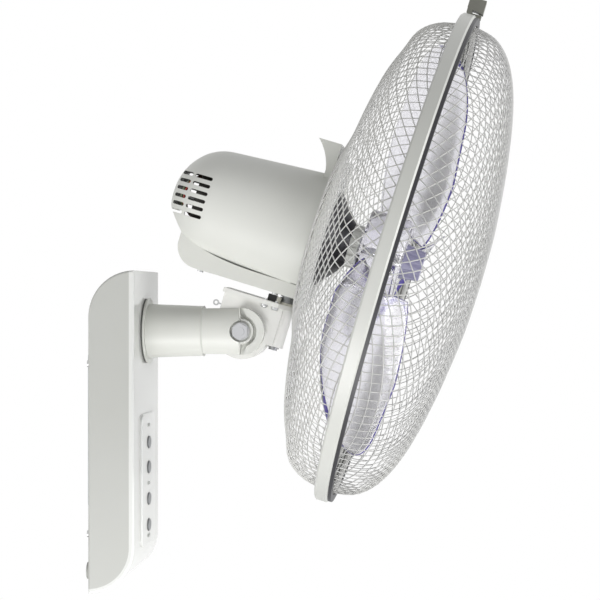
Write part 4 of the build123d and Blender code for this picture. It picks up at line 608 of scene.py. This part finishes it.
# the cone's half outline as (depth, radius): flange, step ring, thicker fork end, bore
barrel = np.array([(21, 16), (21, 35), (25, 35), (25, 25.29), (46.6, 24.44), (46.6, 29.5), (48.1, 29.5),
                   (48.1, 24.38), (97.5, 22.5), (99.5, 24.1), (132.4, 24.1), (133, 23.6), (133, 10),
                   (100, 10), (100, 16)], float)
spin = np.linspace(0, 2 * np.pi, ARM_SIDES, endpoint=False)
depth, r = barrel[:, :1], barrel[:, 1:]
cone = rough_solid(np.stack(np.broadcast_arrays(r * np.cos(spin), depth, r * np.sin(spin)), -1),
                   grid_faces(len(barrel), ARM_SIDES, wrap_rows=True))
ear = np.concatenate([[(GROOVE_START - 0.2, -EAR_R), (GROOVE_START - 0.2, EAR_R)], half_round(EAR_R, 65)])
groove_end = GROOVE_START + GROOVE_W
groove_out, groove_in = half_round(GROOVE_OUT, 33)[4:-4], half_round(GROOVE_IN, 33)[::-1]
groove = np.concatenate([[(GROOVE_START, 22), (groove_end, 22)], groove_out,
                         [(groove_end, -22), (GROOVE_START, -22)], groove_in])
fork_end = TILT_DEPTH + CLEAR_OF_ARM
fork = [(FORK_START, -CLEAR_OF_ARM), (fork_end, -CLEAR_OF_ARM), (fork_end, CLEAR_OF_ARM),
        (FORK_START, CLEAR_OF_ARM)]
seat = circle_at(TILT_DEPTH, SEAT_R)
combine("arm_moulding", cone,
        [("UNION", cross_prism(ear, -EAR_HALF, EAR_HALF)),
         ("DIFFERENCE", cross_prism(groove, GROOVE_HALF, CLEAR_OF_ARM)),
         ("DIFFERENCE", cross_prism(groove, -CLEAR_OF_ARM, -GROOVE_HALF)),
         ("DIFFERENCE", cross_prism(fork, -FORK_HALF, FORK_HALF)),
         ("DIFFERENCE", cross_prism(seat, SEAT_HALF, CLEAR_OF_ARM)),
         ("DIFFERENCE", cross_prism(seat, -CLEAR_OF_ARM, -SEAT_HALF)),
         ("DIFFERENCE", cross_prism(circle_at(TILT_DEPTH, BOLT_HOLE_R, 48), -CLEAR_OF_ARM, CLEAR_OF_ARM))],
        housing_abs, "wall_base", ("arm",))
hexagon = circle_at(TILT_DEPTH, NUT_FLATS / np.sqrt(3), 6, np.pi / 2)
combine("chromed_nut", cross_prism(hexagon, -NUT_HALF - NUT_T, -NUT_HALF),
        [("DIFFERENCE", cross_prism(circle_at(TILT_DEPTH, NUT_HOLE_R, 48), -CLEAR_OF_ARM, 0))],
        nickel_chrome, "wall_base", ("pivot_nut",))

# ---------------------------------------------------------------------------------------------
# Controls: a polished raised panel with four grey push buttons and three clear lenses. The circuit
# board behind it is green glass laminate.
panel_abs = moulded_plastic("panel_abs", "#D9DAD9", roughness=0.2, grain=0.5, depth=0.03)
button_abs = moulded_plastic("button_abs", "#6E7073", roughness=0.35, grain=0.4)
dress(panel_abs, "control_panel")
dress(button_abs, "speed_button", "swing_button", "timer_button", "power_button")
dress(tinted_clear("lens_acrylic", "#DDE8DA", 0.8, roughness=0.12), "indicator_lenses")
dress(moulded_plastic("glass_laminate", "#2C6B3F", roughness=0.4, grain=0.8, depth=0.3), "control_board")

# ---------------------------------------------------------------------------------------------
# Guard fittings: the clamp behind the rear cage, the nut in front of the blades, the ring that
# grips both hoops with its dark bead, and the clip that locks the ring at the top.
dress(housing_abs, "clamp_plate", "guard_nut")
dress(black_abs, "clamp_cone")
dress(moulded_plastic("ring_abs", "#BEBFBC", roughness=0.36, grain=0.8, depth=0.1), "guard_ring")
dress(moulded_plastic("trim_vinyl", "#26262B", roughness=0.45), "ring_trim")
dress(moulded_plastic("clip_abs", "#74746D", roughness=0.4), "clip_base", "guard_clip")
dress(moulded_plastic("blade_nut_abs", "#8C8AA8", roughness=0.35), "blade_nut")
